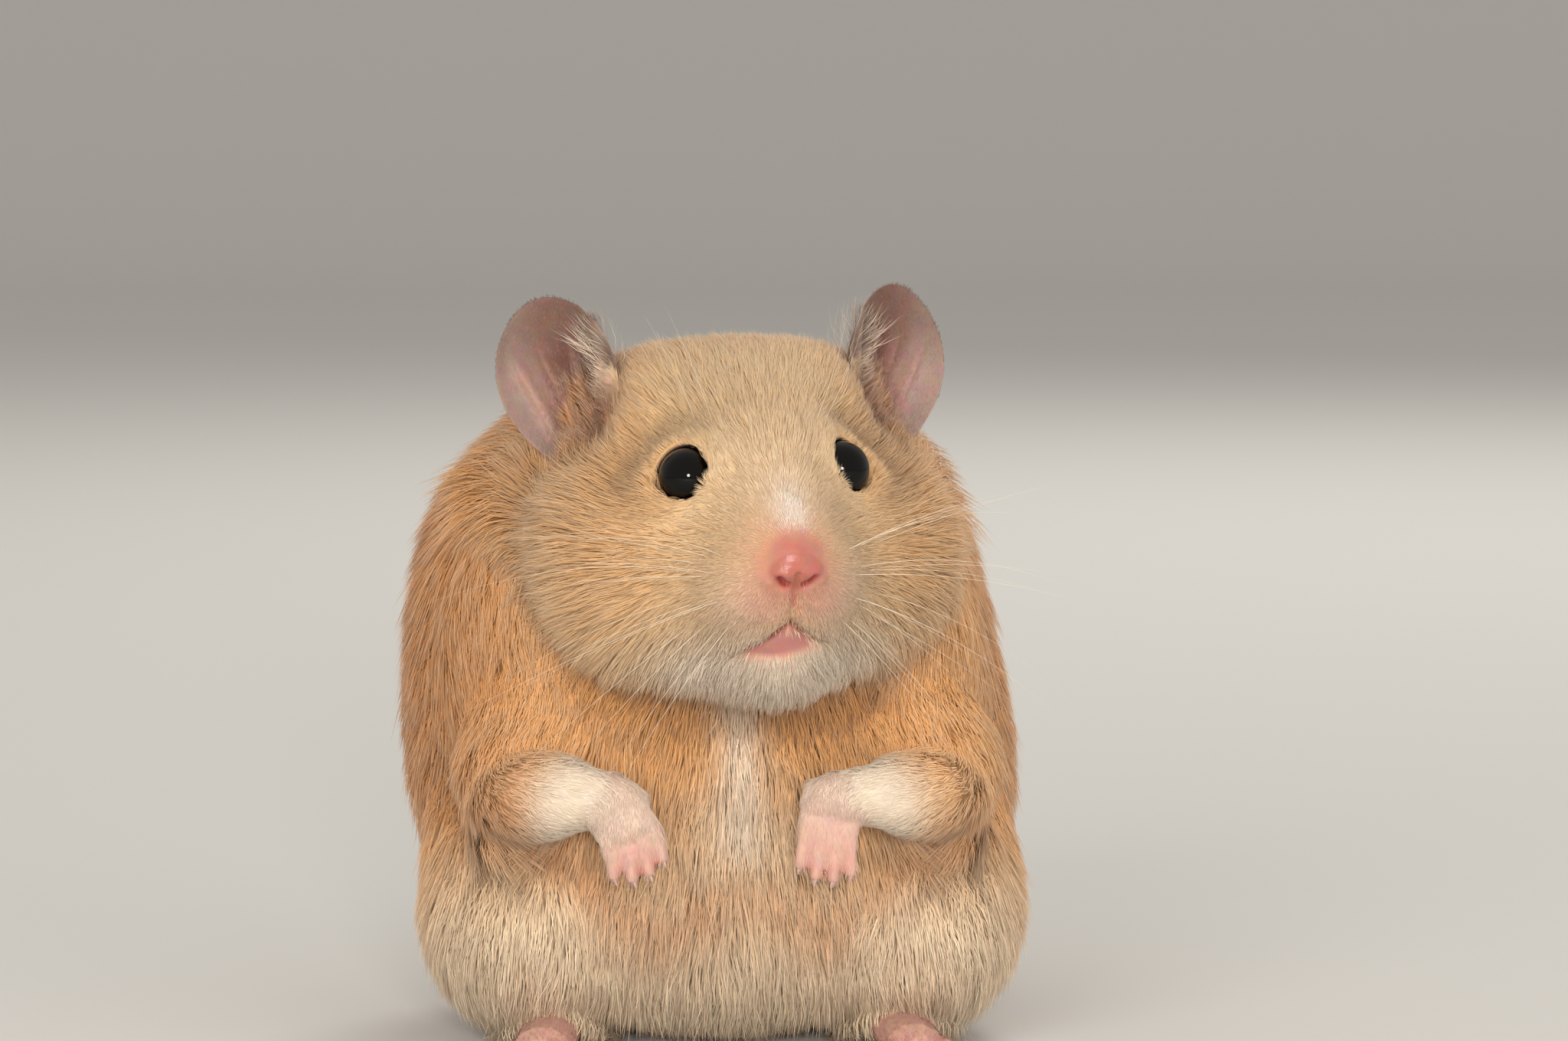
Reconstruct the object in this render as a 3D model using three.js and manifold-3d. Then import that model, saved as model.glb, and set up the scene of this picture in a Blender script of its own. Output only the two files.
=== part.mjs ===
// A Syrian hamster sitting up on its haunches with its forepaws held before its chest, as a still life-size model.
// Millimetres, +Z up. The animal faces -Y and its left side is +X. The outer surface is that of the coat.
import * as THREE from 'three';
import { mergeVertices } from 'three/addons/utils/BufferGeometryUtils.js';
import Module from 'manifold-3d';

const wasm = await Module();
wasm.setup();

// ---- Driving dimensions ----
const GAP = 0.3;                 // clear space at every cut between two parts of the body
const HEAD_AT = new THREE.Vector3(2.1, -22, 64.2);
const HEAD_YAW = 11;             // degrees, the nose turned towards the animal's left
const HEAD_ROLL = -1.5;          // degrees, the left side of the head a little higher
const EYE_RADIUS = 3.2;
const EYE_BULGE = 1.5;           // how far the eyeball stands out of the coat
const EYE_LEVEL = 4.55;          // above the middle of the head
const EYE_AZIMUTH = 36.5;        // degrees from straight ahead
const EAR_LENGTH = 21.5;
const EAR_WIDTH = 14.6;
const EAR_THICKNESS = 1.0;
const EAR_CUP = 4.6;             // depth of the hollow in front of the ear
const FINGERS = 4;
const TOES = 5;
const FLOOR = 0;

const SIDES = [['left', 1], ['right', -1]];
const degrees = THREE.MathUtils.degToRad;
const vector = (x, y, z) => new THREE.Vector3(x, y, z);

// ---- Body masses: each is an ellipsoid, [centre], [radii]. Paired masses are given for the left side. ----
const TRUNK = {
  rump: [[0, 11, 27], [35.4, 30.5, 27.5]],
  loin: [[-2.6, 8, 47], [34.2, 29, 29.5]],
  nape: [[-2.8, 3, 58], [25, 21, 19.5]],
  chest: [[0, -5, 42], [21, 16, 18]],
  belly: [[0, -3, 17], [19, 18, 14.5]],
};
const TRUNK_PAIRS = {
  shoulder: [[17.5, -9, 47], [10.5, 11, 12.5]],
  elbow: [[24, -18, 34.5], [7.4, 8.5, 9]],
  thigh: [[22, -3, 16.2], [13.5, 19.5, 15.6]],
};
const NECK = {
  throat: [[0.5, -10, 59], [19, 15, 16]],
};
const HEAD = {
  cranium: [[0, 7, 2.7], [17, 17, 16.2]],
  brow: [[0, -4, 3.8], [9.9, 12.4, 9.8]],
  snout: [[0, -12.6, -3.2], [7, 9.3, 6.4]],
  chin: [[0, -9.3, -15], [6.4, 8, 5.8]],
};
const HEAD_PAIRS = {
  crown: [[10.2, 8, 9.8], [7.6, 9, 7.2]],
  cheek: [[10, 1.6, -5.2], [11.6, 14.6, 11]],
  jowl: [[7.4, -1.6, -11.3], [9.2, 11, 8.2]],
  lip: [[3.6, -14.8, -8], [4.8, 5.4, 4.4]],
};

// ---- Signed distances ----
function ellipsoid(p, [centre, radii]) {
  const x = (p.x - centre[0]) / radii[0];
  const y = (p.y - centre[1]) / radii[1];
  const z = (p.z - centre[2]) / radii[2];
  const scaled = Math.hypot(x, y, z);
  const slope = Math.hypot(x / radii[0], y / radii[1], z / radii[2]);
  return slope === 0 ? -Math.min(...radii) : (scaled * (scaled - 1)) / slope;
}

// Two surfaces run into each other over about the width given.
function melt(a, b, width) {
  const share = Math.max(width - Math.abs(a - b), 0) / width;
  return Math.min(a, b) - (share * share * width) / 4;
}

// Single masses run into each other over one width, and the paired ones into them over another.
function meltAll(p, masses, pairs, width, pairWidth) {
  const mirrored = vector(Math.abs(p.x), p.y, p.z);
  const single = Object.values(masses).map((mass) => ellipsoid(p, mass)).reduce((sum, d) => melt(sum, d, width));
  return Object.values(pairs).map((mass) => ellipsoid(mirrored, mass)).reduce((sum, d) => melt(sum, d, pairWidth), single);
}

const headPlace = new THREE.Matrix4().compose(
  HEAD_AT,
  new THREE.Quaternion().setFromEuler(new THREE.Euler(0, degrees(HEAD_ROLL), degrees(HEAD_YAW), 'ZYX')),
  vector(1, 1, 1),
);
const intoHead = headPlace.clone().invert();

function headField(p) {
  return meltAll(p, HEAD, HEAD_PAIRS, 5.5, 5.5);
}

function bodyField(p) {
  const trunk = meltAll(p, TRUNK, TRUNK_PAIRS, 14, 5);
  const neck = meltAll(p, NECK, {}, 5, 5);
  const head = headField(p.clone().applyMatrix4(intoHead));
  return melt(melt(trunk, neck, 7), head, 3);
}

// ---- Shapes ----
function bare(geometry) {
  const plain = new THREE.BufferGeometry().setAttribute('position', geometry.getAttribute('position'));
  plain.setIndex(geometry.index);
  return mergeVertices(plain, 1e-4);
}

// Where a ray from inside leaves the body.
function exitDistance(from, direction, field) {
  const p = vector(0, 0, 0);
  const at = (distance) => field(p.copy(direction).multiplyScalar(distance).add(from));
  let outer = 1;
  while (at(outer) < 0 && outer < 120) outer += 1;
  let inner = outer - 1;
  for (let i = 0; i < 20; i++) {
    const middle = (inner + outer) / 2;
    if (at(middle) < 0) inner = middle;
    else outer = middle;
  }
  return inner;
}

// A ball swollen from its centre until it fills the field.
function swell(centre, field, detail) {
  const ball = bare(new THREE.IcosahedronGeometry(1, detail));
  const position = ball.getAttribute('position');
  const direction = vector(0, 0, 0);
  for (let i = 0; i < position.count; i++) {
    direction.fromBufferAttribute(position, i).normalize();
    direction.multiplyScalar(exitDistance(centre, direction, field)).add(centre);
    position.setXYZ(i, direction.x, direction.y, direction.z);
  }
  return ball;
}

function egg([centre, radii], grow, detail) {
  const ball = bare(new THREE.IcosahedronGeometry(1, detail));
  return ball.scale(...radii.map((r) => r + grow)).translate(...centre);
}

// A closed limb along a curve, round at both ends. radii run from its first end to its last.
function limb(points, radii, { round = 10, along = 8, flat = 1, up = vector(0, 0, 1), grow = 0 } = {}) {
  const capRows = Math.min(2, (along - 1) / 2);
  const curve = new THREE.CatmullRomCurve3(points);
  const skin = bare(new THREE.SphereGeometry(1, round, along));
  const position = skin.getAttribute('position');
  const v = vector(0, 0, 0);
  for (let i = 0; i < position.count; i++) {
    v.fromBufferAttribute(position, i);
    const row = (Math.acos(THREE.MathUtils.clamp(v.y, -1, 1)) / Math.PI) * along;
    const turn = Math.atan2(v.z, v.x);
    const t = THREE.MathUtils.clamp((row - capRows) / (along - 2 * capRows), 0, 1);
    const capAngle = (Math.min(row, along - row, capRows) / capRows) * (Math.PI / 2);
    const stage = t * (radii.length - 1);
    const first = Math.min(Math.floor(stage), radii.length - 2);
    const radius = THREE.MathUtils.lerp(radii[first], radii[first + 1], stage - first) + grow;
    const tangent = curve.getTangent(t);
    const side = vector(0, 0, 0).crossVectors(tangent, up).normalize();
    const normal = vector(0, 0, 0).crossVectors(side, tangent);
    const beyond = radius * Math.cos(capAngle) * (row < along / 2 ? -1 : 1);
    const place = curve.getPoint(t).addScaledVector(tangent, beyond);
    place.addScaledVector(side, radius * Math.sin(capAngle) * Math.cos(turn));
    place.addScaledVector(normal, radius * Math.sin(capAngle) * Math.sin(turn) * flat);
    position.setXYZ(i, place.x, place.y, place.z);
  }
  return skin;
}

// ---- Cutting and joining ----
function solid(geometry) {
  const merged = bare(geometry);
  const vertProperties = new Float32Array(merged.getAttribute('position').array);
  const triVerts = new Uint32Array(merged.index.array);
  const made = new wasm.Manifold(new wasm.Mesh({ numProp: 3, vertProperties, triVerts }));
  if (made.volume() > 0) return made;
  for (let i = 0; i < triVerts.length; i += 3) [triVerts[i + 1], triVerts[i + 2]] = [triVerts[i + 2], triVerts[i + 1]];
  return new wasm.Manifold(new wasm.Mesh({ numProp: 3, vertProperties, triVerts }));
}

function geometryOf(made) {
  const { vertProperties, triVerts, numProp } = made.getMesh();
  const position = new Float32Array((vertProperties.length / numProp) * 3);
  for (let i = 0; i < position.length / 3; i++) {
    position.set(vertProperties.subarray(i * numProp, i * numProp + 3), i * 3);
  }
  const geometry = new THREE.BufferGeometry().setAttribute('position', new THREE.BufferAttribute(position, 3));
  geometry.setIndex(new THREE.BufferAttribute(new Uint32Array(triVerts), 1));
  return geometry;
}

// The biggest single body, as a cut can leave crumbs.
function biggest(made) {
  return made.decompose().reduce((a, b) => (a.volume() > b.volume() ? a : b));
}

// All space on the far side of a plane, as a box.
function beyond(at, normal, shift = 0) {
  const size = 300;
  const box = new THREE.BoxGeometry(size, size, size);
  const turn = new THREE.Quaternion().setFromUnitVectors(vector(0, 0, 1), normal.clone().normalize());
  const centre = at.clone().addScaledVector(normal.clone().normalize(), size / 2 + shift);
  return solid(box.applyQuaternion(turn).translate(centre.x, centre.y, centre.z));
}

const union = (solids) => solids.reduce((a, b) => a.add(b));
const cut = (made, cutters) => cutters.reduce((rest, cutter) => rest.subtract(cutter), made);
const underFloor = beyond(vector(0, 0, FLOOR), vector(0, 0, -1));
const inHead = (made) => solid(geometryOf(made).applyMatrix4(intoHead));

// ---- Materials ----
const finish = (color, roughness) => new THREE.MeshStandardMaterial({ color, roughness, metalness: 0 });
const coat = finish(0xd9a66c, 0.9);
const paleCoat = finish(0xe6c9a0, 0.9);
const whiteCoat = finish(0xe9ded2, 0.9);
const bareSkin = finish(0xe0a8a0, 0.6);
const earSkin = finish(0x8f7a76, 0.7);
const noseSkin = finish(0xd8817a, 0.5);
const eyeball = finish(0x0b0908, 0.08);
const horn = finish(0xe8d6c6, 0.45);

const hamster = new THREE.Group();

function place(name, made, material, group = hamster) {
  const mesh = new THREE.Mesh(geometryOf(biggest(made)), material);
  mesh.name = name;
  group.add(mesh);
  return mesh;
}

// ---- Trunk, neck and the upper parts of the limbs, parted from one surface by thin cuts ----
const NECK_FRONT = { at: vector(0, -28.5, 44.5), facing: vector(0.06, -0.76, 0.65) };
const NECK_LENGTH = 5;
const THIGH_CUT = [[25, -3, 14], [14, 23, 17.5]];
const ARM_CUT = { shoulder: [21.5, -9, 51], elbow: [26.5, -21, 35], radii: [13, 12] };

const mirroredMass = ([[x, y, z], radii], side) => [[x * side, y, z], radii];
const thighCut = (side, grow) => solid(egg(mirroredMass(THIGH_CUT, side), grow, 2));

function armCut(side, grow) {
  const path = [ARM_CUT.shoulder, ARM_CUT.elbow].map(([x, y, z]) => vector(side * x, y, z));
  return solid(limb(path, ARM_CUT.radii, { round: 12, along: 7, grow }));
}

// The body's surface as seen from inside the shoulder, where the trunk's own is too coarse.
function shoulderSkin(side, grow) {
  return solid(swell(vector(side * 21, -14, 44), (p) => bodyField(p) - grow, 3));
}

function addTrunk(feet, tail) {
  const trunk = [tail, ...feet, beyond(NECK_FRONT.at, NECK_FRONT.facing, -NECK_LENGTH)];
  for (const [name, side] of SIDES) {
    const haunch = solid(swell(vector(side * 22, -3, 16), bodyField, 3)).intersect(thighCut(side, 0));
    const shoulder = shoulderSkin(side, 0).intersect(armCut(side, 0));
    place(`thigh_${name}`, cut(haunch, [underFloor, ...feet]), coat);
    place(`upper_arm_${name}`, cut(shoulder, [thighCut(side, GAP), beyond(NECK_FRONT.at, NECK_FRONT.facing)]), coat);
    trunk.push(thighCut(side, GAP), armCut(side, GAP));
  }
  place('trunk', cut(solid(swell(vector(0, 5, 36), bodyField, 6)), [underFloor, ...trunk]), coat);
}

function addNeck() {
  const whole = solid(swell(vector(0.3, -12, 58), bodyField, 5));
  const back = beyond(NECK_FRONT.at, NECK_FRONT.facing.clone().negate(), NECK_LENGTH - GAP);
  const front = beyond(NECK_FRONT.at, NECK_FRONT.facing);
  const arms = SIDES.map(([, side]) => armCut(side, GAP));
  const ears = SIDES.map(([, side]) => placed(solid(earLeaf(2 * GAP).applyMatrix4(earPlace(side))), headPlace));
  place('neck', cut(whole, [back, front, ...arms, ...ears]), coat);
}

// ---- Head: everything below is in its own frame ----
const head = new THREE.Group();
headPlace.decompose(head.position, head.quaternion, head.scale);
hamster.add(head);

function eyePlace(side) {
  const aim = vector(side * Math.sin(degrees(EYE_AZIMUTH)), -Math.cos(degrees(EYE_AZIMUTH)), 0);
  const axis = vector(0, 3, EYE_LEVEL);
  const depth = exitDistance(axis, aim, headField) + EYE_BULGE - EYE_RADIUS;
  return axis.addScaledVector(aim, depth);
}

function eyeBall(side, grow, detail) {
  const centre = eyePlace(side);
  return solid(egg([centre.toArray(), [EYE_RADIUS, EYE_RADIUS, EYE_RADIUS]], grow, detail));
}

// The ear is a thin cupped leaf: its hollow faces -Y, its length runs up +Z, and the cup deepens towards the root.
function earLeaf(grow) {
  const leaf = bare(new THREE.SphereGeometry(1, 16, 8));
  const position = leaf.getAttribute('position');
  for (let i = 0; i < position.count; i++) {
    const [x, facing, z] = [position.getX(i), position.getY(i), position.getZ(i)];
    const reach = Math.min(Math.hypot(x, z), 1);
    const half = (EAR_THICKNESS / 2) * Math.sqrt(Math.max(1 - reach ** 6, 0)) + grow;
    const width = (EAR_WIDTH / 2 + grow) * (1 + 0.16 * z - 0.2 * z * z);
    const cup = EAR_CUP * (1 - reach ** 2) * (1 - 0.5 * z);
    const side = Math.abs(facing) < 1e-6 ? 0 : Math.sign(facing);
    const lean = 0.012 * (z * EAR_LENGTH * 0.5) ** 2;
    position.setXYZ(i, x * width, cup + lean + side * half, z * (EAR_LENGTH / 2 + grow));
  }
  return leaf;
}

function earPlace(side) {
  return new THREE.Matrix4().compose(
    vector(side * 19.8, 7, 14.3),
    new THREE.Quaternion().setFromEuler(new THREE.Euler(degrees(-8), degrees(17 * side), degrees(24 * side), 'ZYX')),
    vector(side, 1, 1),
  );
}

const NOSE = [[0, -20.9, -4], [3.3, 2.7, 2.9]];

// The bare nose: a rounded pad with two comma-shaped nostrils and a groove below.
function nosePad(grow) {
  const nostril = (side) => solid(limb(
    [vector(side * 0.9, -23.6, -5.5), vector(side * 1.8, -23.2, -5), vector(side * 2.7, -22.3, -3.8)],
    [0.45, 0.42, 0.3], { round: 5, along: 5 },
  ));
  const pad = solid(swell(vector(...NOSE[0]), (p) => {
    const wings = ellipsoid(vector(Math.abs(p.x), p.y, p.z), [[1.8, -21.3, -4.9], [1.6, 1.9, 1.6]]);
    return melt(ellipsoid(p, NOSE), wings, 1) - grow;
  }, grow ? 1 : 2));
  return grow ? pad : cut(pad, SIDES.map(([, side]) => nostril(side)));
}

// The lower jaw fills the space under an inverted V, the line of the closed lips.
function jawSpace(grow) {
  const profile = new THREE.Shape();
  profile.moveTo(-6 - grow, -32);
  profile.lineTo(-6 - grow, -14.4 + grow);
  profile.quadraticCurveTo(-3, -13.6 + grow, 0, -10.9 + grow);
  profile.quadraticCurveTo(3, -13.6 + grow, 6 + grow, -14.4 + grow);
  profile.lineTo(6 + grow, -32);
  const depth = 22;
  const bar = new THREE.ExtrudeGeometry(profile, { depth, bevelEnabled: false, curveSegments: 4 });
  return solid(bar.rotateX(Math.PI / 2).translate(0, -6 + grow, 0));
}

function addHead() {
  const field = (p) => bodyField(p.clone().applyMatrix4(headPlace));
  const front = beyond(NECK_FRONT.at, NECK_FRONT.facing.clone().negate(), -GAP);
  const whole = solid(swell(vector(0, -5, -2), field, 8)).subtract(inHead(front));
  const sockets = SIDES.map(([, side]) => eyeBall(side, GAP, 1));
  const roots = SIDES.map(([, side]) => solid(earLeaf(2 * GAP).applyMatrix4(earPlace(side))));
  const carved = cut(whole, [nosePad(GAP), ...sockets, ...roots]);
  place('head', carved.subtract(jawSpace(0.6)), coat, head);
  place('lower_jaw', carved.intersect(jawSpace(0)), whiteCoat, head);
  place('nose', nosePad(0), noseSkin, head);
  for (const [name, side] of SIDES) {
    place(`eye_${name}`, eyeBall(side, 0, 2), eyeball, head);
    place(`ear_${name}`, solid(earLeaf(0).applyMatrix4(earPlace(side))), earSkin, head);
  }
}

// ---- Forelegs ----
const ELBOW = [24.5, -21, 33];
const WRIST = [16.5, -30, 32];
const PAW_TURNS = { left: [-20, 10, 0], right: [-20, 20, 0] };   // degrees about X, Y and Z; the fingers hang down -Z
const PAW_INWARD = { left: 4.8, right: 3.2 };   // how far the middle of the paw lies inside the wrist

function forearm(side, grow) {
  const path = [ELBOW, [22.5, -26.5, 32.3], WRIST].map(([x, y, z]) => vector(side * x, y, z));
  return solid(limb(path, [5.7, 5.5, 4.4], { round: 10, along: 8, grow }));
}

// Each finger runs from its knuckle to its tip, where the claw begins.
function fingerPath(i) {
  const across = i - (FINGERS - 1) / 2;
  const length = 5.2 - 0.5 * across * across;
  return [
    vector(across * 1.6, -0.9, -3.4),
    vector(across * 1.95, -1.6, -3.4 - length * 0.5),
    vector(across * 1.95, -0.7, -3.4 - length),
  ];
}

function forepaw(grow) {
  const palm = solid(limb([vector(0.4, 0, -0.4), vector(0.1, -0.2, -1.6), vector(0, -0.3, -2.6)], [3.7, 4.2, 3.7], {
    round: 9, along: 6, flat: 0.72, up: vector(0, 1, 0), grow,
  }));
  const fingers = [...Array(FINGERS).keys()].map((i) => solid(limb(
    fingerPath(i), [0.95, 0.85, 0.72], { round: 5, along: 5, up: vector(0, 1, 0), grow },
  )));
  const thumb = solid(limb([vector(2.6, 0.6, -2.2), vector(3.3, 0.8, -3.6)], [0.9, 0.6], {
    round: 5, along: 5, up: vector(0, 1, 0), grow,
  }));
  return union([palm, thumb, ...fingers]);
}

// up is any way that isn't along the claw.
function claw(from, to, droop, radius, up) {
  const middle = from.clone().lerp(to, 0.5).add(vector(0, 0, droop));
  return solid(limb([from, middle, to], [radius, radius * 0.85, 0.12], { round: 4, along: 4, up }));
}

// The same place as a group, for cutting in the body's frame.
function pawPlace(name, side) {
  const [x, y, z] = PAW_TURNS[name].map(degrees);
  return new THREE.Matrix4().compose(
    vector(side * (WRIST[0] - PAW_INWARD[name]), WRIST[1] - 0.6, WRIST[2] + 0.4),
    new THREE.Quaternion().setFromEuler(new THREE.Euler(x, y * side, z * side, 'YXZ')),
    vector(side, 1, 1),
  );
}

function placed(made, matrix) {
  return solid(geometryOf(made).applyMatrix4(matrix));
}

function addForelegs() {
  const bodySkin = solid(swell(vector(0, 5, 36), (p) => bodyField(p) - GAP, 6));
  for (const [name, side] of SIDES) {
    const paw = new THREE.Group();
    const matrix = pawPlace(name, side);
    matrix.decompose(paw.position, paw.quaternion, paw.scale);
    hamster.add(paw);
    const back = matrix.clone().invert();
    const behind = bodySkin.add(shoulderSkin(side, GAP));
    place(`forearm_${name}`, cut(forearm(side, 0), [behind, placed(forepaw(GAP), matrix)]), coat);
    place(`forepaw_${name}`, forepaw(0).subtract(placed(behind, back)), bareSkin, paw);
    for (let i = 0; i < FINGERS; i++) {
      const tip = fingerPath(i)[2];
      const from = tip.clone().add(vector(0, 0.1, -1.25));
      const nail = claw(from, tip.clone().add(vector(0, 0.5, -2.1)), 0, 0.38, vector(0, 1, 0.3));
      place(`foreclaw_${name}_${i + 1}`, nail, horn, paw);
    }
  }
}

// ---- Hind feet: flat on the floor, toes forward ----
const HEEL = [19.5, -7, 0];
const SPLAY = 7;   // degrees, toes turned outwards

function toePath(i) {
  const across = i - (TOES - 1) / 2;
  const length = 5.6 - 0.75 * across * across;
  return [
    vector(across * 1.2, -16, 1.5),
    vector(across * 1.75, -16 - length * 0.5, 2),
    vector(across * 1.95, -16 - length, 0.85),
  ];
}

function sole(grow) {
  return solid(limb([vector(0, 4, 3), vector(0, -7, 2.6), vector(0, -14.5, 1.9)], [3.2, 3.3, 3.5], {
    round: 10, along: 8, flat: 0.82, grow,
  }));
}

function hindFoot(grow) {
  const toes = [...Array(TOES).keys()].map((i) => solid(limb(
    toePath(i), [1.15, 1.05, 0.9], { round: 5, along: 5, grow },
  )));
  return union([sole(grow), ...toes]);
}

function footPlace(side) {
  return new THREE.Matrix4().compose(
    vector(side * HEEL[0], HEEL[1], HEEL[2]),
    new THREE.Quaternion().setFromAxisAngle(vector(0, 0, 1), degrees(SPLAY * side)),
    vector(side, 1, 1),
  );
}

function addHindFeet() {
  for (const [name, side] of SIDES) {
    const foot = new THREE.Group();
    footPlace(side).decompose(foot.position, foot.quaternion, foot.scale);
    hamster.add(foot);
    place(`hind_foot_${name}`, hindFoot(0).subtract(underFloor), bareSkin, foot);
    for (let i = 0; i < TOES; i++) {
      const tip = toePath(i)[2];
      const from = tip.clone().add(vector(0, -1.45, 0.1));
      const nail = claw(from, tip.clone().add(vector(0, -2.9, -0.35)), 0.15, 0.4, vector(0, 0.2, 1));
      place(`hindclaw_${name}_${i + 1}`, nail, horn, foot);
    }
  }
}

// ---- Tail: a short stub ----
function tail(grow) {
  const path = [vector(0, 34, 9), vector(0, 40, 6.4), vector(0, 45.5, 3.8)];
  return solid(limb(path, [3.4, 2.6, 1.4], { round: 8, along: 6, grow }));
}

const feetInBody = SIDES.map(([, side]) => placed(sole(GAP), footPlace(side)));
addTrunk(feetInBody, tail(GAP));
addNeck();
addHead();
addForelegs();
addHindFeet();
place('tail', tail(0).subtract(underFloor), whiteCoat);

// The origin is the middle of the footprint, on the floor.
hamster.updateMatrixWorld(true);
const bounds = new THREE.Box3().setFromObject(hamster, true);
const middle = bounds.getCenter(vector(0, 0, 0));
hamster.position.set(-middle.x, -middle.y, -bounds.min.z);

export default hamster;
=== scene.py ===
import math

import bmesh
import bpy
import numpy as np
from mathutils import Matrix, Vector
from mathutils.bvhtree import BVHTree
from mathutils.kdtree import KDTree


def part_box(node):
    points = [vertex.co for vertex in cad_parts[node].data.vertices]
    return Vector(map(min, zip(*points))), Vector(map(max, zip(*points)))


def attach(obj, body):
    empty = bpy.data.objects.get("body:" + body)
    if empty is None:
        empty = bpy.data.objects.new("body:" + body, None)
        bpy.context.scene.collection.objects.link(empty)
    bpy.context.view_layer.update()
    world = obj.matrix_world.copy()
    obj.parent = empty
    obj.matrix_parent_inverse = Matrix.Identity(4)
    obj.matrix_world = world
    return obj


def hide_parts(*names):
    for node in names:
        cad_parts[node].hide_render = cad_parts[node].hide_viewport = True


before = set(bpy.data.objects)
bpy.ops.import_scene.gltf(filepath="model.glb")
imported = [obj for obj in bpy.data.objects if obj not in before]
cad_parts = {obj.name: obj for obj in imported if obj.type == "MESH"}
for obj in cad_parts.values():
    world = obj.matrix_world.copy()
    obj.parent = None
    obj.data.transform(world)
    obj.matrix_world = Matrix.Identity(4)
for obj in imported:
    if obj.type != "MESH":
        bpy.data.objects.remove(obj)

bl_info = {
    "name": "Sitting Hamster",
    "version": (1, 0, 0),
    "blender": (4, 5, 0),
    "location": "View3D > Sidebar > Hamster",
    "description": "Builds a Syrian hamster's skin, eyes, claws, whiskers and coat round its solids",
    "category": "Object",
}

MM = 0.001
SIDES = {"left": 1, "right": -1}

# ---- Places read from the solids, in metres ----


def middle(node):
    low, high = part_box(node)
    return np.array((low + high) / 2)


def unit(vectors):
    length = np.linalg.norm(vectors, axis=-1, keepdims=True)
    return vectors / np.maximum(length, 1e-12)


EYES = {side: middle(f"eye_{side}") for side in SIDES}
NOSE = middle("nose")
ACROSS = unit(EYES["left"] - EYES["right"])  # towards the animal's left
AHEAD = unit(np.cross(ACROSS, (0, 0, 1)))
UP = np.cross(AHEAD, ACROSS)
HEAD = NOSE - AHEAD * 20.9 * MM + UP * 4 * MM  # the middle of the head
EYE_MM = (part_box("eye_left")[1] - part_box("eye_left")[0])[2] / 2 / MM  # the eyeball's radius
CLAWS = sorted(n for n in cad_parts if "claw" in n)
FLESH = sorted(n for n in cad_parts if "claw" not in n and not n.startswith("eye"))
DIGITED = [n for n in FLESH if n.startswith(("forepaw", "hind_foot"))]
CORE = [n for n in FLESH if n not in DIGITED and not n.startswith("ear")]


def in_head(points):
    """Millimetres to the animal's left, ahead and up from the middle of its head."""
    return (points - HEAD) @ np.array([ACROSS, AHEAD, UP]).T / MM


def ramp(value, start, end):
    """0 at start, 1 at end, and smooth between them."""
    t = np.clip((value - start) / (end - start), 0, 1)
    return t * t * (3 - 2 * t)


def hill(distance, width):
    return np.exp(-((distance / width) ** 2))


def to_path(points, path):
    """Distance from each point to a chain of points."""
    best = np.full(len(points), np.inf)
    for a, b in zip(path[:-1], path[1:]):
        a, b = np.array(a, float), np.array(b, float)
        along = np.clip((points - a) @ (b - a) / ((b - a) @ (b - a)), 0, 1)
        best = np.minimum(best, np.linalg.norm(points - a - along[:, None] * (b - a), axis=1))
    return best


# ---- Colours and materials ----


def linear(code):
    """An sRGB hex colour as linear red, green and blue."""
    channels = np.array([int(code[i : i + 2], 16) / 255 for i in (1, 3, 5)])
    return np.where(channels <= 0.04045, channels / 12.92, ((channels + 0.055) / 1.055) ** 2.4)


def blend_colours(a, b, share):
    return a + (b - a) * np.reshape(share, (-1, 1))


def add_node(material, kind, settings=None, **inputs):
    """Adds a node. An input's value is a number, a colour, or another node's output socket."""
    tree = material.node_tree
    node = tree.nodes.new(kind)
    for name, value in (settings or {}).items():
        setattr(node, name, value)
    for name, value in inputs.items():
        socket = node.inputs[name.replace("_", " ")]
        if isinstance(value, bpy.types.NodeSocket):
            tree.links.new(value, socket)
        else:
            socket.default_value = value
    return node


def new_material(name):
    material = bpy.data.materials.new(name)
    material.use_nodes = True
    material.node_tree.nodes.clear()
    return material


def shade(material, bump=None, **inputs):
    """Ends a material in one Principled shader."""
    if bump:
        inputs["Normal"] = bump.outputs["Normal"]
    surface = add_node(material, "ShaderNodeBsdfPrincipled", **inputs)
    add_node(material, "ShaderNodeOutputMaterial", Surface=surface.outputs["BSDF"])
    return material


def noise(material, size_mm):
    """Noise in object space whose blotches are about size_mm across."""
    place = add_node(material, "ShaderNodeTexCoord")
    return add_node(
        material, "ShaderNodeTexNoise",
        Vector=place.outputs["Object"], Scale=1 / (size_mm * MM), Detail=3.0,
    )


def bare_skin_material():
    """Live skin: soft and slightly moist, with fine wrinkles and light that goes a little way in."""
    material = new_material("live skin")
    paint = add_node(material, "ShaderNodeAttribute", {"attribute_name": "marking"})
    blotch = noise(material, 1.5)
    mottled = add_node(
        material, "ShaderNodeMixRGB", {"blend_type": "SOFT_LIGHT"},
        Fac=0.35, Color1=paint.outputs["Color"], Color2=blotch.outputs["Color"],
    )
    grain = noise(material, 0.25)
    bump = add_node(material, "ShaderNodeBump", Strength=0.35, Distance=0.1 * MM, Height=grain.outputs["Fac"])
    wet = add_node(material, "ShaderNodeAttribute", {"attribute_name": "wet"})
    gloss = add_node(material, "ShaderNodeMapRange", Value=wet.outputs["Fac"], To_Min=0.6, To_Max=0.28)
    return shade(
        material, bump, Base_Color=mottled.outputs["Color"], Roughness=gloss.outputs["Result"], IOR=1.4,
        Subsurface_Weight=0.15, Subsurface_Radius=(1.0, 0.4, 0.25), Subsurface_Scale=0.8 * MM,
    )


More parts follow.
